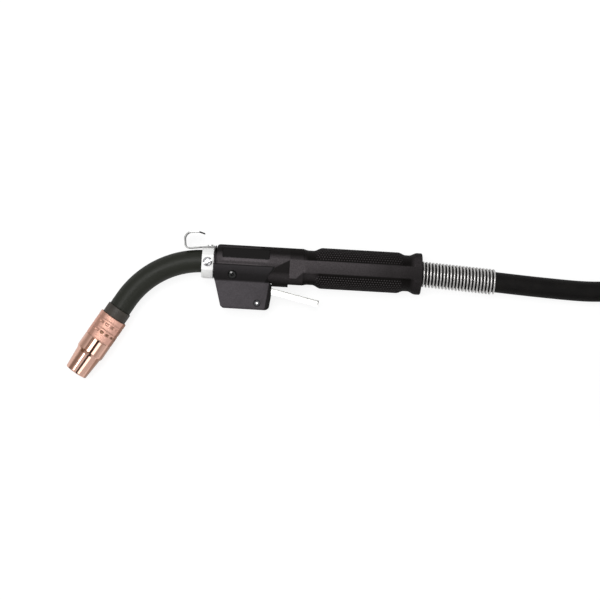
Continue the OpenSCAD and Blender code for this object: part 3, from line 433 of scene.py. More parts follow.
def moulded(node, name, bevel, segments=2, limit=28, keep=None):
    """A copy of a CAD node whose edges sharper than limit degrees are rounded by bevel
    millimetres. keep is (u, side): the copy is cut and closed at u, and only the part on that
    side of it stays, -1 for the front."""
    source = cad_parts[node].data
    work = bmesh.new()
    work.from_mesh(source)
    bmesh.ops.remove_doubles(work, verts=work.verts, dist=2e-6)
    if keep:
        station, side = keep
        made = bmesh.ops.bisect_plane(work, geom=work.verts[:] + work.edges[:] + work.faces[:],
                                      plane_co=at([station, 0, 0]), plane_no=(side, 0, 0),
                                      clear_inner=True)["geom_cut"]
        bmesh.ops.triangle_fill(work, use_beauty=True,
                                edges=[e for e in made if isinstance(e, bmesh.types.BMEdge)])
    bmesh.ops.dissolve_limit(work, angle_limit=math.radians(0.6), verts=work.verts,
                             edges=work.edges)
    mesh = bpy.data.meshes.new(name)
    work.to_mesh(mesh)
    work.free()
    for attribute in ("custom_normal", "sharp_edge", "sharp_face"):
        if attribute in mesh.attributes:
            mesh.attributes.remove(mesh.attributes[attribute])
    mesh.polygons.foreach_set("use_smooth", [True] * len(mesh.polygons))
    mesh.materials.clear()
    piece = bpy.data.objects.new(name, mesh)
    bpy.context.scene.collection.objects.link(piece)
    rounder = piece.modifiers.new("rounded", "BEVEL")
    rounder.width, rounder.segments = bevel / 1000, segments
    rounder.limit_method, rounder.angle_limit = "ANGLE", math.radians(limit)
    rounder.use_clamp_overlap = True
    rounder.harden_normals = False
    flat = piece.modifiers.new("flats", "WEIGHTED_NORMAL")
    flat.weight = 80
    return piece


JOIN_U = 88.5
GRIP_START, GRIP_LEN, GRIP_R, FRONT_WAIST_R, REAR_WAIST_R = 107, 75, 20.3, 17.2, 18
GRIP_END = GRIP_START + GRIP_LEN
WAIST_START, GRIP_RISE, WAIST_STEP, GRIP_FALL = GRIP_START - 19, 9, 5, 8
FLARE_START, FLARE_RISE, END_ROUND = HANDLE_LEN - 13, 8, 0.8
FLARE_R, SIDE_W, BAND_V, BODY_V = 20.8, 18.9, 7, 18.1


def blend(a, b, start, end, x):
    """From a to b by the eased step between start and end."""
    return a + (b - a) * ease((x - start) / (end - start))


def grip_radius(x):
    """The handle's turned outline: body, waist, grip, waist and flare, joined by eased steps."""
    front = blend(BODY_V, FRONT_WAIST_R, WAIST_START, WAIST_START + WAIST_STEP, x)
    rise = blend(FRONT_WAIST_R, GRIP_R, GRIP_START - GRIP_RISE, GRIP_START, x)
    fall = blend(GRIP_R, REAR_WAIST_R, GRIP_END, GRIP_END + GRIP_FALL, x)
    flare = blend(REAR_WAIST_R, FLARE_R, FLARE_START, FLARE_START + FLARE_RISE, x)
    end = blend(FLARE_R, FLARE_R - END_ROUND, HANDLE_LEN - END_ROUND, HANDLE_LEN, x)
    r = np.where(x < WAIST_START + WAIST_STEP + 2.5, front, rise)
    r = np.where(x > (GRIP_START + GRIP_END) / 2, fall, r)
    r = np.where(x > FLARE_START - 1, flare, r)
    return np.where(x > HANDLE_LEN - END_ROUND, end, r)


# The domes stand in staggered rows on a grip that is sunk a little between its waists. At the
# front the band's lower edge drops to meet the flank of the front body.
DOME_X, DOME_ARC, DOME_H, DOME_R, TOP_R, GRIP_SUNK = 2.6, 2.6, 0.42, 1.1, 0.75, 0.25
DOMES_FROM, DOMES_TO, FRONT_FADE, REAR_FADE, DOME_GAP, EDGE_FADE = 99, 188, 4, 3, 0.8, 1.2
BAND_ROUND, BAND_DROP, DROP_LEN, DROP_END = 1.1, 5, 9, JOIN_U + 1.5
BAND_POINTS, DOME_POINTS = 20, 7
band_angle = math.asin(BAND_V / SIDE_W)
zone = math.pi - 2 * band_angle
zone_rows = 2 * round(zone * GRIP_R / DOME_ARC / 2)
around = np.concatenate([
    start + np.linspace(0, span, count, endpoint=False)
    for start, span, count in ((-band_angle, 2 * band_angle, BAND_POINTS),
                               (band_angle, zone, DOME_POINTS * zone_rows),
                               (math.pi - band_angle, 2 * band_angle, BAND_POINTS),
                               (math.pi + band_angle, zone, DOME_POINTS * zone_rows))])
stations = np.concatenate([np.arange(JOIN_U, DOMES_FROM - 1, 0.7),
                           np.arange(DOMES_FROM - 1, DOMES_TO + 2, DOME_X / 6),
                           np.arange(DOMES_TO + 2, HANDLE_LEN, 0.6),
                           [HANDLE_LEN - END_ROUND / 2, HANDLE_LEN]])
stations = np.unique(np.round(stations, 4))
x, a = np.meshgrid(stations, around, indexing="ij")
turned_r = grip_radius(x)
slab_r = SIDE_W / np.maximum(np.abs(np.cos(a)), 1e-6)
v_here = np.minimum(turned_r, slab_r) * np.abs(np.sin(a))
low_edge = BAND_V + BAND_DROP * ease((DROP_END - x) / DROP_LEN)
band_edge = np.where(np.sin(a) > 0, BAND_V, low_edge)
in_band = ease((band_edge + BAND_ROUND / 2 - slab_r * np.abs(np.sin(a))) / BAND_ROUND)
grip_r = np.minimum(turned_r, slab_r)
grip_r = grip_r + (np.maximum(slab_r, grip_r) - grip_r) * in_band * (x < HANDLE_LEN - 2)
row = (np.mod(a + band_angle, math.pi) - 2 * band_angle) / zone * zone_rows
column = x / DOME_X + 0.5 * (np.floor(row) % 2)
du, dv = (column % 1 - 0.5) * DOME_X, (row % 1 - 0.5) * DOME_ARC
from_top = du ** 2 + dv ** 2
dome = np.clip(1 - from_top / DOME_R ** 2, 0, 1) ** 0.5
fade = (ease((x - DOMES_FROM) / FRONT_FADE) * ease((DOMES_TO - x) / REAR_FADE)
        * ease((v_here - BAND_V - DOME_GAP) / EDGE_FADE))
grip_r = grip_r - GRIP_SUNK * fade + DOME_H * dome * fade
grip_grid = at(np.stack([x, grip_r * np.sin(a), grip_r * np.cos(a)], -1))
BORE_R, SEAT_R, SEAT_DEPTH = 12.6, 13.8, 10
inner = [(SEAT_R, HANDLE_LEN), (SEAT_R, HANDLE_LEN - SEAT_DEPTH),
         (BORE_R, HANDLE_LEN - SEAT_DEPTH), (BORE_R, JOIN_U)]
bore_grid = np.stack([at(np.stack([np.full_like(around, s), r * np.sin(around),
                                   r * np.cos(around)], -1)) for r, s in inner])
# The dome tops are stored for their painted highlights.
tops = np.concatenate([ease(1.8 * (1 - from_top / TOP_R ** 2)) * fade,
                       np.zeros(bore_grid.shape[:2])])
grip = skin("handle_grip", np.concatenate([grip_grid, bore_grid]), ring=True, sharp=50, worn=tops)
ride(grip, "torch", "handle_plastic", "handle_body")
front = moulded("handle_body", "handle_front", 0.5, keep=(JOIN_U, -1))
ride(front, "torch", "handle_plastic")


def torch_places(finish, origin=(0, 0, 0)):
    """How far a point of the surface lies back, towards the hook and up from a place on the
    torch, in metres."""
    return finish.parts(finish.place(shift=tuple(at(origin))))


# The grey on the nylon is painted light and shade. The flanks that face the lamps are lifted from
# the black towards the grey, and the front body falls darker towards its top and by the seam. The
# cheek and the grip's rear fall into painted shade, and the rim under the label, the strip over it,
# the edge over the seam and the dome tops carry painted highlights. A lift is a share of the way
# from the black to the grey, and the places are metres along u, v and w.
NYLON_BLACK, NYLON_PAINTED_LIGHT_GREY = (0.0045, 0.0038, 0.0034), (0.116, 0.103, 0.109)
FLANK_W, STEP_U, GRIP_U, BAND_TOP_V, BAND_LOW_V = 0.0128, 0.0751, 0.0915, 0.0068, -0.0055
nylon = Finish("black_nylon", specular_ior_level=0.05)
spark = nylon.noise(nylon.place(), 2600, detail=2, rough=0.7)
grain = nylon.noise(nylon.place(), 800, detail=2, rough=0.7)
along_u, across_v, height_w = torch_places(nylon)
# Painted light: the flanks that face the lamps are lifted towards the grey, the other faces only a
# little.
facing = abs(height_w).above(FLANK_W, 0.006)
behind_step = along_u.above(STEP_U, 0.0006)
on_grip = along_u.above(GRIP_U, 0.003)
lower_edge = BAND_LOW_V - 0.0065 * (1 - along_u.above(0.0850, 0.0065))
band = (1 - across_v.above(BAND_TOP_V, 0.001)) * (across_v - lower_edge).above(0, 0.001)
# Painted shade: the cheek behind the housing stays dark, a little lighter in its middle.
cheek = ((along_u - 0.061) * 0.577 - across_v).above(0.0019, 0.0012) * (1 - behind_step)
# Painted highlights: a line under the label, a strip over it and an edge over the seam.
rim_light = across_v.within(0.0025, 0.0050, 0.001) * along_u.within(0.009, 0.054, 0.004)
crown_highlight = across_v.within(0.0152, 0.0172, 0.001) * along_u.within(0.006, 0.046, 0.006)
seam_light = across_v.within(-0.0016, 0.0002, 0.0006) * (1 - along_u.above(0.048, 0.01))
# Painted shade: the front body darkens towards its top and next to the seam.
near_seam_shade = 0.64 + across_v.above(0.0014, 0.002) * 0.32
front_lift = ((1 - across_v.above(0.0090, 0.0055) * 0.9) * near_seam_shade
              + rim_light * 0.55 + crown_highlight * 0.5 + seam_light * 0.35)
cheek_middle = (1 - across_v.above(-0.0078, 0.003)) * across_v.above(-0.0155, 0.006)
cheek_lift = 0.12 + cheek_middle * 0.24
# Painted shade: the band darkens towards the rear and downwards.
rear_lift = (0.92 - along_u.above(0.118, 0.05) * 0.18 - along_u.above(0.16, 0.025) * 0.35
             - along_u.above(0.188, 0.012) * 0.12) * (0.84 + across_v * 34)
body_lift = front_lift + (cheek_lift - front_lift) * cheek
behind_lift = band * 0.96 + (1 - band) * front_lift * 0.5
step_lift = body_lift + (behind_lift - body_lift) * behind_step
# Painted light under the band at the front of the grip and on the flare.
under = (1 - across_v.above(-0.004, 0.002)) * 0.42 * (1 - along_u.above(0.102, 0.006))
flare = along_u.above(0.1965, 0.004) * (0.22 + across_v.above(0.006, 0.003) * 0.14)
grip_lift = band * rear_lift + (1 - band) * (under + flare)
lift = step_lift + (grip_lift - step_lift) * on_grip
# Painted highlights on the dome tops, fainter towards the rear and most of all on the upper side.
rear_dots = along_u.above(0.15, 0.08) * (0.06 + across_v.above(0, 0.002) * 0.12)
dome_highlights = nylon.worn() * (facing * 0.3 + 0.24 - rear_dots)
shade = (facing * lift + (1 - facing) * 0.07) * (grain * 0.8 + 0.2) + dome_highlights
nylon.set(base_color=nylon.tint(shade.clamped(), NYLON_BLACK, NYLON_PAINTED_LIGHT_GREY),
          roughness=0.46 + spark * 0.2,
          normal=nylon.relief(spark + grain * 0.6, 0.00009))
nylon.on(grip, front)

# ---------------------------------------------------------------- label plate
# A thin domed plate of gloss black plastic in a slanted seat. It is left blank.
plate = moulded("label_plate", "label_plate_blank", 0.22, segments=3)
ride(plate, "torch", "label_gloss", "label_plate")
GLOSS_BLACK = (0.005, 0.004, 0.004)
gloss = Finish("label_gloss_black", base_color=GLOSS_BLACK, specular_ior_level=0.15,
               coat_weight=0.12, coat_roughness=0.08)
haze = gloss.noise(gloss.place(), 260, detail=3)
gloss.set(roughness=0.16 + haze * 0.1, normal=gloss.relief(haze, 0.00003))
gloss.on(plate)

# ---------------------------------------------------------------- trigger housing
# Two moulded halves of the same nylon, bolted to the handle's sides and joined by one screw through
# the rear corner. The wall under the crease is painted lighter than the strip over it, as it faces
# the light, and the strip darkens downwards in painted shade.
CASE_BLACK, CASE_PAINTED_LIGHT_GREY = (0.0048, 0.0046, 0.004), (0.078, 0.070, 0.077)
CREASE_V, JOINT_V = -0.0179, -0.0021
case_nylon = Finish("housing_nylon", specular_ior_level=0.09)
spark = case_nylon.noise(case_nylon.place(), 3000, detail=2, rough=0.7)
grain = case_nylon.noise(case_nylon.place(), 800, detail=2, rough=0.7)
cloud = case_nylon.noise(case_nylon.place(), 70, detail=3)
along_u, across_v, _ = torch_places(case_nylon)
wall = 1 - across_v.above(CREASE_V, 0.0012)
# Painted shade on the wall's rear facet.
rear_facet_shade = (along_u - across_v * 0.13).above(0.0579, 0.0008)
rear_joint = (along_u - across_v * 0.5).above(0.0597, 0.0006) * (1 - wall)
joint = across_v.above(JOINT_V, 0.0003) * (1 - along_u.above(0.06, 0.004))
# Painted highlight along the strip just over the crease.
crease_highlight = across_v.within(-0.0182, -0.0168, 0.001)
# Painted shade: the strip darkens downwards.
strip_lift = 0.14 + across_v.above(-0.006, 0.01) * 0.26 + crease_highlight * 0.2
# Painted light on the wall, darker towards the rear, with random mottling.
wall_lift = (0.88 - along_u.above(0.043, 0.02) * 0.14 + (cloud - 0.5) * 0.5) * (1 - rear_facet_shade * 0.85)
case_lift = ((strip_lift + (wall_lift - strip_lift) * wall) * (grain * 0.8 + 0.6)
             * (1 - joint * 0.9) * (1 - rear_joint * 0.8))
case_nylon.set(base_color=case_nylon.tint(case_lift.clamped(), CASE_BLACK, CASE_PAINTED_LIGHT_GREY),
               roughness=0.44 + spark * 0.2,
               normal=case_nylon.relief(spark + grain * 0.6, 0.00008))
for side in ("left", "right"):
    half = moulded("trigger_housing_" + side, "housing_half_" + side, 0.7, segments=3)
    ride(half, "torch", "housing_plastic", "trigger_housing_" + side)
    case_nylon.on(half)


def metal(name, colour, dark, rough, grain):
    """A bare metal: the colour and its darker stains, with fine scratches in the gloss."""
    finish = Finish(name, metallic=1.0)
    stain = finish.noise(finish.place(), grain, detail=5)
    scratch = finish.noise(finish.place(scale=(1, 1, 9)), grain * 6, detail=2)
    finish.colour = finish.tint(stain.above(0.6, 0.5), colour, dark)
    return finish.set(base_color=finish.colour, roughness=rough + scratch * 0.16,
                      normal=finish.relief(scratch, 0.00002))


def glint_head(name, centre, area, edge, dark, glint_colour, gloss, **constants):
    """A dark screw head with a painted glint: a brighter spot about the given centre that stands in
    for a reflection. area is the spot's radius squared, edge is the width over which that fades, and
    gloss is (least, spread)."""
    finish = Finish(name, **constants)
    across_head, up_head, _ = torch_places(finish, centre)
    glint_spot = 1 - (across_head * across_head + up_head * up_head).above(area, edge)
    return finish.set(base_color=finish.tint(glint_spot, dark, glint_colour),
                      roughness=gloss[0] + finish.noise(finish.place(), 900) * gloss[1])


# Where each head's painted glint sits.
BOLT_AT, CORNER_SCREW_AT = (17.5, -9.2, 0), (44.6, -38.4, 0)
black_bolt = glint_head("black_oxide", BOLT_AT, 1.2e-6, 1e-6, (0.004, 0.004, 0.004),
                         (0.42, 0.42, 0.41), (0.24, 0.14), specular_ior_level=0.1)
bolts = moulded("housing_bolts", "housing_bolts_black", 0.7, segments=4)
black_bolt.on(ride(bolts, "torch", "bolt_black", "housing_bolts"))
# The corner screw is bright zinc; its head is painted near black, as the shade of its recess, round
# the painted glint.
zinc_painted_shade = glint_head("zinc_plate_painted_shade", CORNER_SCREW_AT, 1.1e-6, 8e-7, (0.03, 0.03, 0.032),
                        (0.62, 0.61, 0.60), (0.14, 0.16), metallic=1.0)
case_screw = moulded("housing_screw", "housing_screw_pan", 0.6, segments=4)
zinc_painted_shade.on(ride(case_screw, "torch", "housing_screw_steel", "housing_screw"))
zinc = metal("zinc_plate", (0.62, 0.62, 0.63), (0.36, 0.36, 0.38), 0.16, 400)
zinc.on("housing_nut", "pivot_pin")

# ---------------------------------------------------------------- trigger
# A lever of bright plated sheet, bent to a channel, turns on a pin through both halves. Its
# foot presses a small enclosed switch. The return spring's narrow turns go down with the
# foot, into its wide turns that stand on the switch; the two are separate wires here.
LEVER_START, LEVER_SLOPE, LEVER_LEN, EDGE_SHADE_GREY = (50, -20.95, 0), 0.206, 0.0546, (0.10, 0.10, 0.095)
plated = metal("bright_plate", (0.92, 0.92, 0.90), (0.80, 0.79, 0.77), 0.26, 90)
along_u, across_v, _ = torch_places(plated, LEVER_START)
# Painted shade: a dark line along the fold at the lever's top and across its end.
top_edge = ((across_v + along_u * LEVER_SLOPE).above(-0.0014, 0.0004)
            * along_u.above(0.004, 0.002))
edge_shade = (top_edge * 0.8 + along_u.above(LEVER_LEN, 0.0003)).clamped()
plated.set(base_color=plated.tint(edge_shade, plated.colour, EDGE_SHADE_GREY))
lever = moulded("trigger_lever", "lever_sheet", 0.35)
plated.on(ride(lever, "trigger", "lever_plated", "trigger_lever"))
plated.on("hook_screw")


def plastic(name, colours, grain, gloss, detail=3, **constants):
    """A plain moulding in two mottled colours. gloss is its least roughness, the spread over
    that and the grain of the spread."""
    finish = Finish(name, **constants)
    least, spread, gloss_grain = gloss
    dull = finish.noise(finish.place(), gloss_grain, detail=detail)
    mottle = finish.noise(finish.place(), grain, detail=detail)
    return finish.set(base_color=finish.tint(mottle, *colours), roughness=least + dull * spread)


SWITCH_BROWN = (0.036, 0.03, 0.025), (0.052, 0.044, 0.038)
PLUNGER_RED = (0.42, 0.045, 0.03), (0.5, 0.07, 0.045)
LEAD_RED = (0.26, 0.014, 0.012), (0.2, 0.01, 0.01)
moulding = plastic("switch_case", SWITCH_BROWN, 700, (0.45, 0.15, 700), specular_ior_level=0.4)
moulding.on("switch_body")
red = plastic("plunger_red_moulding", PLUNGER_RED, 900, (0.3, 0.1, 500), coat_weight=0.3)
red.on("switch_plunger")
plastic("lead_sleeving", LEAD_RED, 500, (0.35, 0.15, 500)).on("switch_leads")

RETURN_U, RETURN_PITCH, RETURN_WIRE_R = 30, 5.1 / 4, 0.0003
ACROSS, BACK = np.array([0.0, 1.0, 0.0]), np.array([1.0, 0.0, 0.0])
coils = []
for turns, foot, radius, length in (("wide", -33.65, 2.6, 2.45), ("narrow", -30.9, 1.4, 2.35)):
    return_line, return_out = helix(at([RETURN_U, foot, 0]) * 1000, ACROSS, BACK, radius,
                                    RETURN_PITCH, length)
    wire_rim = rim(12, np.full(len(return_line), RETURN_WIRE_R))
    coils.append(skin("return_spring_" + turns, sweep(return_line / 1000, return_out, wire_rim)))
ride(coils[0], "torch", "return_spring_steel", "return_spring")
ride(coils[1], "trigger", "return_spring_steel")
bright.on(*coils)

# ---------------------------------------------------------------- neck
# A bent brass tube in a smooth black jacket. The jacket ends a little past the bend, where
# the nozzle's insulator is screwed on.
BEND_START, BEND_R, BEND, NECK_RISE = 9.8, 90, math.radians(58.5), 0.5
NECK_FROM, JACKET_R, JACKET_BORE_R = 60, 11.3, 8.1
PAST_BEND, ROUNDED_END = np.array([4, 8, 10.2, 10.5, 10.7, 10.8]), [0.05, 0.2, 0.5]
JACKET_GREEN, JACKET_GREY = (0.009, 0.0102, 0.0062), (0.019, 0.0205, 0.0145)
OUTLET = np.array([-math.cos(BEND), -math.sin(BEND), 0])
ARC_END = np.array([-BEND_START - BEND_R * math.sin(BEND),
                    NECK_RISE - BEND_R * (1 - math.cos(BEND)), 0])
bend_steps = np.linspace(0, BEND, 80)
neck_line = np.vstack([
    [[u, NECK_RISE, 0] for u in np.arange(NECK_FROM, -BEND_START, -3)],
    np.stack([-BEND_START - BEND_R * np.sin(bend_steps),
              NECK_RISE - BEND_R * (1 - np.cos(bend_steps)), 0 * bend_steps], 1),
    ARC_END + PAST_BEND[:, None] * OUTLET])
jacket_r = np.full(len(neck_line), JACKET_R)
jacket_r[-3:] -= ROUNDED_END
outside = sweep(at(neck_line), UP, rim(72, jacket_r / 1000))
inside = sweep(at(neck_line), UP, rim(72, np.full(len(neck_line), JACKET_BORE_R) / 1000))
neck_steps = np.linalg.norm(np.diff(neck_line, axis=0), axis=1)
neck_along = np.concatenate([[0], np.cumsum(neck_steps)]) / 1000
jacket = skin("neck_jacket", np.concatenate([outside, inside[::-1]]), ring=True,
              along=np.concatenate([neck_along, neck_along[::-1]]))
ride(jacket, "torch", "jacket_rubber", "tube_jacket")
jacketing = Finish("neck_jacketing", specular_ior_level=0.24)
drawn = jacketing.noise(jacketing.place(scale=(70, 9, 1), of="UV"), 1.0, detail=4)
cloud = jacketing.noise(jacketing.place(), 70, detail=4)
fine = jacketing.noise(jacketing.place(), 1500, detail=2)
jacketing.set(base_color=jacketing.tint(cloud * 0.6 + drawn * 0.4, JACKET_GREEN, JACKET_GREY),
              roughness=0.36 + cloud * 0.14 + drawn * 0.08,
              normal=jacketing.relief(drawn + fine * 0.4, 0.00006))
jacketing.on(jacket)
tube_brass = metal("drawn_brass", (0.78, 0.60, 0.30), (0.5, 0.36, 0.17), 0.24, 300)
tube_brass.on("conductor_tube", "gas_diffuser", "cable_connector", "switch_terminals",
              "plug_spigot", "plug_pin_upper", "plug_pin_lower")
wound_steel = metal("liner_wire", (0.6, 0.6, 0.61), (0.4, 0.4, 0.41), 0.3, 900)
wound_steel.on("wire_liner")

# ---------------------------------------------------------------- clamp and hook
# A cast alloy collar holds the neck. One slotted screw in its side bears on the jacket, and
# a plated steel strip on its top is bent into the hanging hook.
cast = Finish("tumbled_alloy", metallic=0.1)
tumbled = cast.noise(cast.place(), 900, detail=4)
cast.set(base_color=cast.tint(tumbled, (0.93, 0.93, 0.92), (0.99, 0.99, 0.98)),
         roughness=0.42 + tumbled * 0.2, normal=cast.relief(tumbled, 0.00008))
clamp = moulded("neck_clamp", "clamp_collar", 0.4)
cast.on(ride(clamp, "torch", "clamp_alloy", "neck_clamp"))
slotted = moulded("clamp_screw", "clamp_screw_slotted", 0.2)
zinc.on(ride(slotted, "torch", "clamp_screw_steel", "clamp_screw"))

HOOK_TOP_V, STRIP_HIGHLIGHT_GREY, DARK_TIP = 0.0245, (0.7, 0.7, 0.69), (0.012, 0.012, 0.012)
strip = moulded("hanger_hook", "hook_strip", 0.3)
sprung = metal("sprung_strip", (0.23, 0.23, 0.225), (0.12, 0.12, 0.12), 0.3, 260)
along_u, across_v, _ = torch_places(sprung)
over_top = across_v.above(HOOK_TOP_V, 0.001)
tip = over_top * along_u.above(-0.0168, 0.001)
# Painted highlight: a stretch of the strip's top is lighter.
top_highlight = over_top * along_u.within(-0.0255, -0.0175, 0.004)
sprung.set(base_color=sprung.tint(tip, sprung.tint(top_highlight, sprung.colour, STRIP_HIGHLIGHT_GREY),
                                  DARK_TIP))
sprung.on(ride(strip, "torch", "hook_steel", "hanger_hook"))

# ---------------------------------------------------------------- nozzle
# Heavy drawn copper, slipped over the insulator. Two rows of crimped dents and three turned
# grooves run round its rear; the plain band, shoulder and cone are polished.
NOZZLE_SET, NOZZLE_LEN = 21.3, 66.5
nozzle_start = ARC_END + NOZZLE_SET * OUTLET


def turned(start, axis, profile, columns=96):
    """Rows of a turned shape: each (radius, station) is carried round the axis from the top.
    The radius may be an array that changes round the row."""
    side = np.cross(axis, UP)
    a = np.arange(columns) * 2 * math.pi / columns
    spoke = np.cos(a)[:, None] * UP + np.sin(a)[:, None] * side
    return np.stack([start + s * axis + np.reshape(r, (-1, 1)) * spoke for r, s in profile])


def softened(profile, size, steps=4):
    """A profile with its corners rounded: each corner becomes a curve that starts and ends
    size away, or half the way to the next corner if that is nearer."""
    p = np.asarray(profile, float)
    made = [p[:1]]
    t = np.linspace(0, 1, steps)[:, None]
    for before, corner, after in zip(p[:-2], p[1:-1], p[2:]):
        back, on = before - corner, after - corner
        lengths = np.linalg.norm(back), np.linalg.norm(on)
        start = corner + back * min(0.5, size / max(lengths[0], 1e-9))
        end = corner + on * min(0.5, size / max(lengths[1], 1e-9))
        made.append(start * (1 - t) ** 2 + 2 * corner * t * (1 - t) + end * t ** 2)
    return np.vstack(made + [p[-1:]])


# The outside is turned, then each dent and groove is pressed in by a bell curve.
NOZZLE_R, CONE_R, MOUTH_R, NOZZLE_BORE_R, SOCKET_R = 14.3, 13.1, 11.5, 7.95, 10.5
REAR_EDGE, LIP = 0.5, 0.4
SHOULDER_S, CONE_S, LIP_S = 41.7, 44.7, NOZZLE_LEN - LIP
DENTS, DENT_ROWS, DENT_DEPTH, DENT_HALF_S, DENT_HALF_W = 14, (8.9, 18), 0.8, 1.25, 2.1
GROOVES, GROOVE_HALF_S = ((5.5, 0.35), (14.6, 0.35), (26.8, 0.4)), 0.55
COLUMNS = 210
outer = np.array([(NOZZLE_R - REAR_EDGE, 0), (NOZZLE_R, REAR_EDGE), (NOZZLE_R, SHOULDER_S),
                  (CONE_R, CONE_S), (MOUTH_R, LIP_S), (MOUTH_R - LIP, NOZZLE_LEN)])
fine_s = np.unique(np.concatenate([
    np.linspace(0, REAR_EDGE, 4), np.arange(REAR_EDGE, SHOULDER_S - 0.2, 0.35),
    np.linspace(SHOULDER_S - 0.2, CONE_S + 0.4, 14), np.arange(CONE_S + 0.4, LIP_S, 1.0),
    np.linspace(LIP_S, NOZZLE_LEN, 4)]))
fine_r = np.interp(fine_s, outer[:, 1], outer[:, 0])
dent_share = np.arange(COLUMNS) * DENTS / COLUMNS
nearest = np.abs((dent_share + 0.5) % 1 - 0.5) * 2 * math.pi / DENTS * NOZZLE_R
radii = np.repeat(fine_r[:, None], COLUMNS, 1)
stain = np.zeros_like(radii)
for dent_s in DENT_ROWS:
    across = np.exp(-((fine_s - dent_s) / DENT_HALF_S) ** 4)[:, None]
    pressed = across * np.exp(-(nearest / DENT_HALF_W) ** 4)[None]
    radii -= DENT_DEPTH * pressed
    stain += pressed
for groove_s, depth in GROOVES:
    turned_in = np.exp(-((fine_s - groove_s) / GROOVE_HALF_S) ** 2)[:, None]
    radii -= depth * turned_in
    stain += 0.5 * turned_in
inner = softened([(NOZZLE_BORE_R, LIP_S), (NOZZLE_BORE_R, 48.5), (SOCKET_R, 42.5),
                  (SOCKET_R, 0.4)], 1.0)
lip = softened([(MOUTH_R - LIP, NOZZLE_LEN), (NOZZLE_BORE_R + 0.35, NOZZLE_LEN),
                (NOZZLE_BORE_R, LIP_S)], 0.2)[1:-1]
profile = list(zip(radii, fine_s))
profile += [(np.full(COLUMNS, r), s) for r, s in np.vstack([lip, inner])]
stain = np.concatenate([stain, np.zeros((len(profile) - len(stain), COLUMNS))])
nozzle = skin("nozzle_copper_body", at(turned(nozzle_start, OUTLET, profile, COLUMNS)), ring=True,
              sharp=50, worn=stain)
ride(nozzle, "nozzle", "nozzle_copper", "nozzle")

# The plain rear is dull and spotted; from POLISHED_S on, the copper is polished. The brown streaks
# that run along it are painted reflections, and a darker edge at one side and a darker middle of the
# dull rear are painted shade. lateral is metres across, from the axis.
COPPER_DEEP, COPPER_LIGHT = (0.80, 0.46, 0.37), (0.88, 0.55, 0.44)
REFLECTION_BROWN, DENT_BROWN = (0.22, 0.10, 0.055), (0.22, 0.12, 0.07)
POLISHED_S, TAPER_S = 0.0268, 0.0425
copper = Finish("nozzle_copper_skin", metallic=1.0)
nozzle_origin = tuple(at(nozzle_start))
heading = (0, 0, math.atan2(OUTLET[1], OUTLET[0]))
station, lateral, _ = copper.parts(copper.place(shift=nozzle_origin, turn=heading))
polished = station.above(POLISHED_S, 0.0006)
on_cone = station.above(TAPER_S, 0.0015)
shoulder = polished * (1 - on_cone)
blotch = copper.noise(copper.place(), 260, detail=5)
patch = copper.noise(copper.place(), 75, detail=1).above(0.5, 0.12)
pits = copper.noise(copper.place(), 1600, detail=2)
rings = copper.noise(copper.place(scale=(3000, 30, 30), shift=nozzle_origin, turn=heading),
                     1.0, detail=2)
drift = lateral + (blotch - 0.5) * 0.001
narrowed = (drift - on_cone * 0.0015) * (1 + on_cone * 0.25)
# Painted reflections: brown streaks along the copper. Painted shade: a darker edge at one side and a
# darker middle on the dull rear.
side_streak = narrowed.within(-0.0114, -0.0068, 0.002)
mid_streak = drift.within(-0.0002, 0.0024, 0.0012) * shoulder
left_streak = drift.within(-0.0050, -0.0022, 0.0010) * shoulder
right_streak = drift.within(0.0063, 0.0085, 0.002) * shoulder
rim_streak = lateral.above(0.0122 - on_cone * 0.0022, 0.001)
shoulder_streak = station.within(0.0413, 0.0452, 0.001) * drift.within(-0.0075, 0.0010, 0.002)
crown_shade = drift.within(-0.0052, 0.0016, 0.003) * (1 - polished)
painted_streaks = (side_streak * (0.48 + on_cone * 0.3) + mid_streak * 0.7 + left_streak * 0.75
           + right_streak * 0.4 + rim_streak * 0.75 + shoulder_streak * 0.5
           + crown_shade * 0.3).clamped()
copper_tone = copper.tint(polished * 0.6 + blotch * 0.4, COPPER_DEEP, COPPER_LIGHT)
browned = (copper.worn() * (patch * 0.9 + 0.1)).clamped()
copper.set(base_color=copper.tint(browned, copper.tint(painted_streaks, copper_tone, REFLECTION_BROWN), DENT_BROWN),
           roughness=(1 - polished) * 0.42 + 0.07 + pits * 0.05,
           normal=copper.relief((1 - polished) * (pits + rings * 0.5) + rings * 0.03, 0.00003))
copper.on(nozzle)
red_copper = metal("turned_copper", (0.84, 0.46, 0.33), (0.6, 0.3, 0.2), 0.25, 500)
red_copper.on("contact_tip", "crimp_sleeve")

COLLAR_R, COLLAR_FROM, SPIGOT_R, SPIGOT_LEN = 12.5, -10.4, 10.2, 24
FRONT_BORE_R, REAR_BORE_R, BORE_STEP_S = 8.35, 8.1, -4
collar_profile = softened([(REAR_BORE_R + 0.1, COLLAR_FROM), (COLLAR_R, COLLAR_FROM),
                           (COLLAR_R, -0.05), (SPIGOT_R, -0.05), (SPIGOT_R, SPIGOT_LEN),
                           (FRONT_BORE_R, SPIGOT_LEN), (FRONT_BORE_R, BORE_STEP_S),
                           (REAR_BORE_R, BORE_STEP_S), (REAR_BORE_R, COLLAR_FROM + 0.2),
                           (REAR_BORE_R + 0.1, COLLAR_FROM)], 0.35)
collar_grid = at(turned(nozzle_start, OUTLET, collar_profile))
collar = skin("nozzle_collar", collar_grid, ring=True, sharp=50)
ride(collar, "torch", "insulator_black", "nozzle_insulator")
baked = Finish("collar_moulding", specular_ior_level=0.45)
soot = baked.noise(baked.place(), 160, detail=5)
baked.set(base_color=baked.tint(soot, (0.014, 0.0115, 0.009), (0.06, 0.05, 0.038)),
          roughness=0.4 + soot * 0.25, normal=baked.relief(soot, 0.00008))
baked.on(collar)

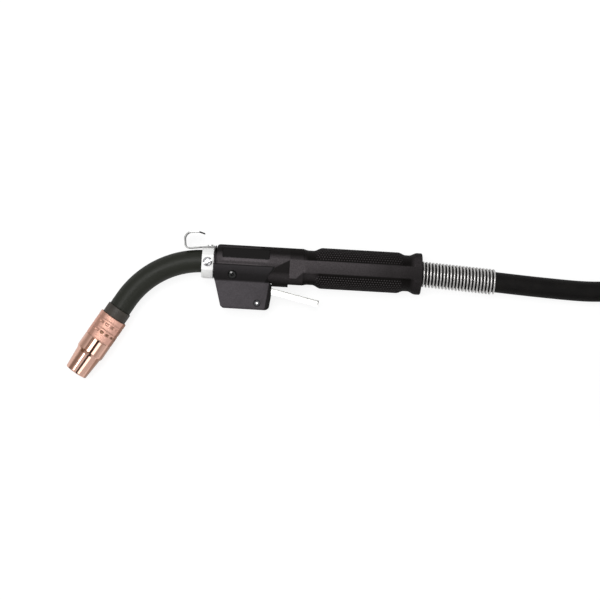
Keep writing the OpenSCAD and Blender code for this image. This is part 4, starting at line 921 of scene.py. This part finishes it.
# ---------------------------------------------------------------- coil strap
# A woven strap holds the coil together. It is pulled round the four turns on the side away
# from the plug.
STRAP_T, STRAP_W, STRAP_R, STRAP_EDGE, EDGE_DROP = 1.4, 20, 8, 0.4, 0.35
near = COIL_INNER_R + COIL_PITCH / 2 - CABLE_D / 2
tall = COIL_PITCH + CABLE_D


def rounded_loop(low, high, r, count=10):
    """A rectangle between two corners whose corners are quarter circles of radius r."""
    t = np.linspace(0, math.pi / 2, count)
    places = [((high[0] - r, high[1] - r), 0), ((low[0] + r, high[1] - r), 1),
              ((low[0] + r, low[1] + r), 2), ((high[0] - r, low[1] + r), 3)]
    return np.vstack([np.stack([c[0] + r * np.cos(t + k * math.pi / 2),
                                c[1] + r * np.sin(t + k * math.pi / 2)], 1) for c, k in places])


loop_out = rounded_loop((-tall - STRAP_T, 0), (STRAP_T, tall + 2 * STRAP_T), STRAP_R + STRAP_T)
loop_in = rounded_loop((-tall, STRAP_T), (0, tall + STRAP_T), STRAP_R)
half_w = STRAP_W / 2
thin_edge = loop_out * (1 - EDGE_DROP / 50) + [-EDGE_DROP * 0.2, EDGE_DROP * 0.4]
strap_rows = [(thin_edge, -half_w), (loop_out, STRAP_EDGE - half_w),
              (loop_out, half_w - STRAP_EDGE), (thin_edge, half_w),
              (loop_in, half_w), (loop_in, -half_w)]
strap_grid = np.stack([np.stack([np.full(len(loop), COIL_CENTRE[0] + across),
                                 COIL_CENTRE[1] - near + loop[:, 0], loop[:, 1]], 1)
                       for loop, across in strap_rows])
strap = skin("coil_strap", back_of(strap_grid), ring=True, sharp=60)
ride(strap, "torch", "tie_fabric", "coil_tie")
webbing = Finish("strap_webbing", specular_ior_level=0.3, sheen_weight=0.3)
weave_x = webbing.node("ShaderNodeTexWave", {"bands_direction": "X"},
                       {"Vector": webbing.place(), "Scale": 420, "Distortion": 0.4})
weave_y = webbing.node("ShaderNodeTexWave", {"bands_direction": "DIAGONAL"},
                       {"Vector": webbing.place(), "Scale": 300, "Distortion": 0.4})
weave = weave_x * weave_y
webbing.set(base_color=webbing.tint(weave, (0.008, 0.009, 0.011), (0.03, 0.033, 0.038)),
            roughness=0.7 + weave * 0.2, normal=webbing.relief(weave, 0.0002))
webbing.on(strap)

# ---------------------------------------------------------------- plug
# A ribbed rubber boot, a moulded housing with its insulating carrier, a ribbed hand nut that
# turns freely, and a brass spigot with two sprung pins.
boot_rubber = Finish("boot_moulding", specular_ior_level=0.4)
dull = boot_rubber.noise(boot_rubber.place(), 220, detail=5)
boot_rubber.set(base_color=boot_rubber.tint(dull, (0.008, 0.008, 0.0085), (0.018, 0.018, 0.019)),
                roughness=0.5 + dull * 0.2, normal=boot_rubber.relief(dull, 0.00008))
boot = moulded("plug_boot", "plug_boot_ribbed", 0.5, limit=40)
boot_rubber.on(ride(boot, "torch", "boot_rubber", "plug_boot"))
plug_nylon = Finish("plug_nylon", specular_ior_level=0.45)
spark = plug_nylon.noise(plug_nylon.place(), 2400, detail=2)
cloud = plug_nylon.noise(plug_nylon.place(), 110, detail=4)
plug_nylon.set(base_color=plug_nylon.tint(cloud, (0.014, 0.014, 0.016), (0.026, 0.026, 0.029)),
               roughness=0.42 + spark * 0.2, normal=plug_nylon.relief(spark, 0.00008))
shell = moulded("plug_housing", "plug_shell", 0.6, limit=40)
plug_nylon.on(ride(shell, "torch", "plug_plastic", "plug_housing"))
nut = moulded("plug_nut", "plug_hand_nut", 0.3, limit=40)
plug_nylon.on(ride(nut, "plug_ring", "nut_plastic", "plug_nut"))
CARRIER_GREY = (0.035, 0.036, 0.04), (0.055, 0.056, 0.06)
carrier = plastic("carrier_moulding", CARRIER_GREY, 200, (0.4, 0.15, 200), detail=4,
                  specular_ior_level=0.45)
carrier.on("plug_carrier")
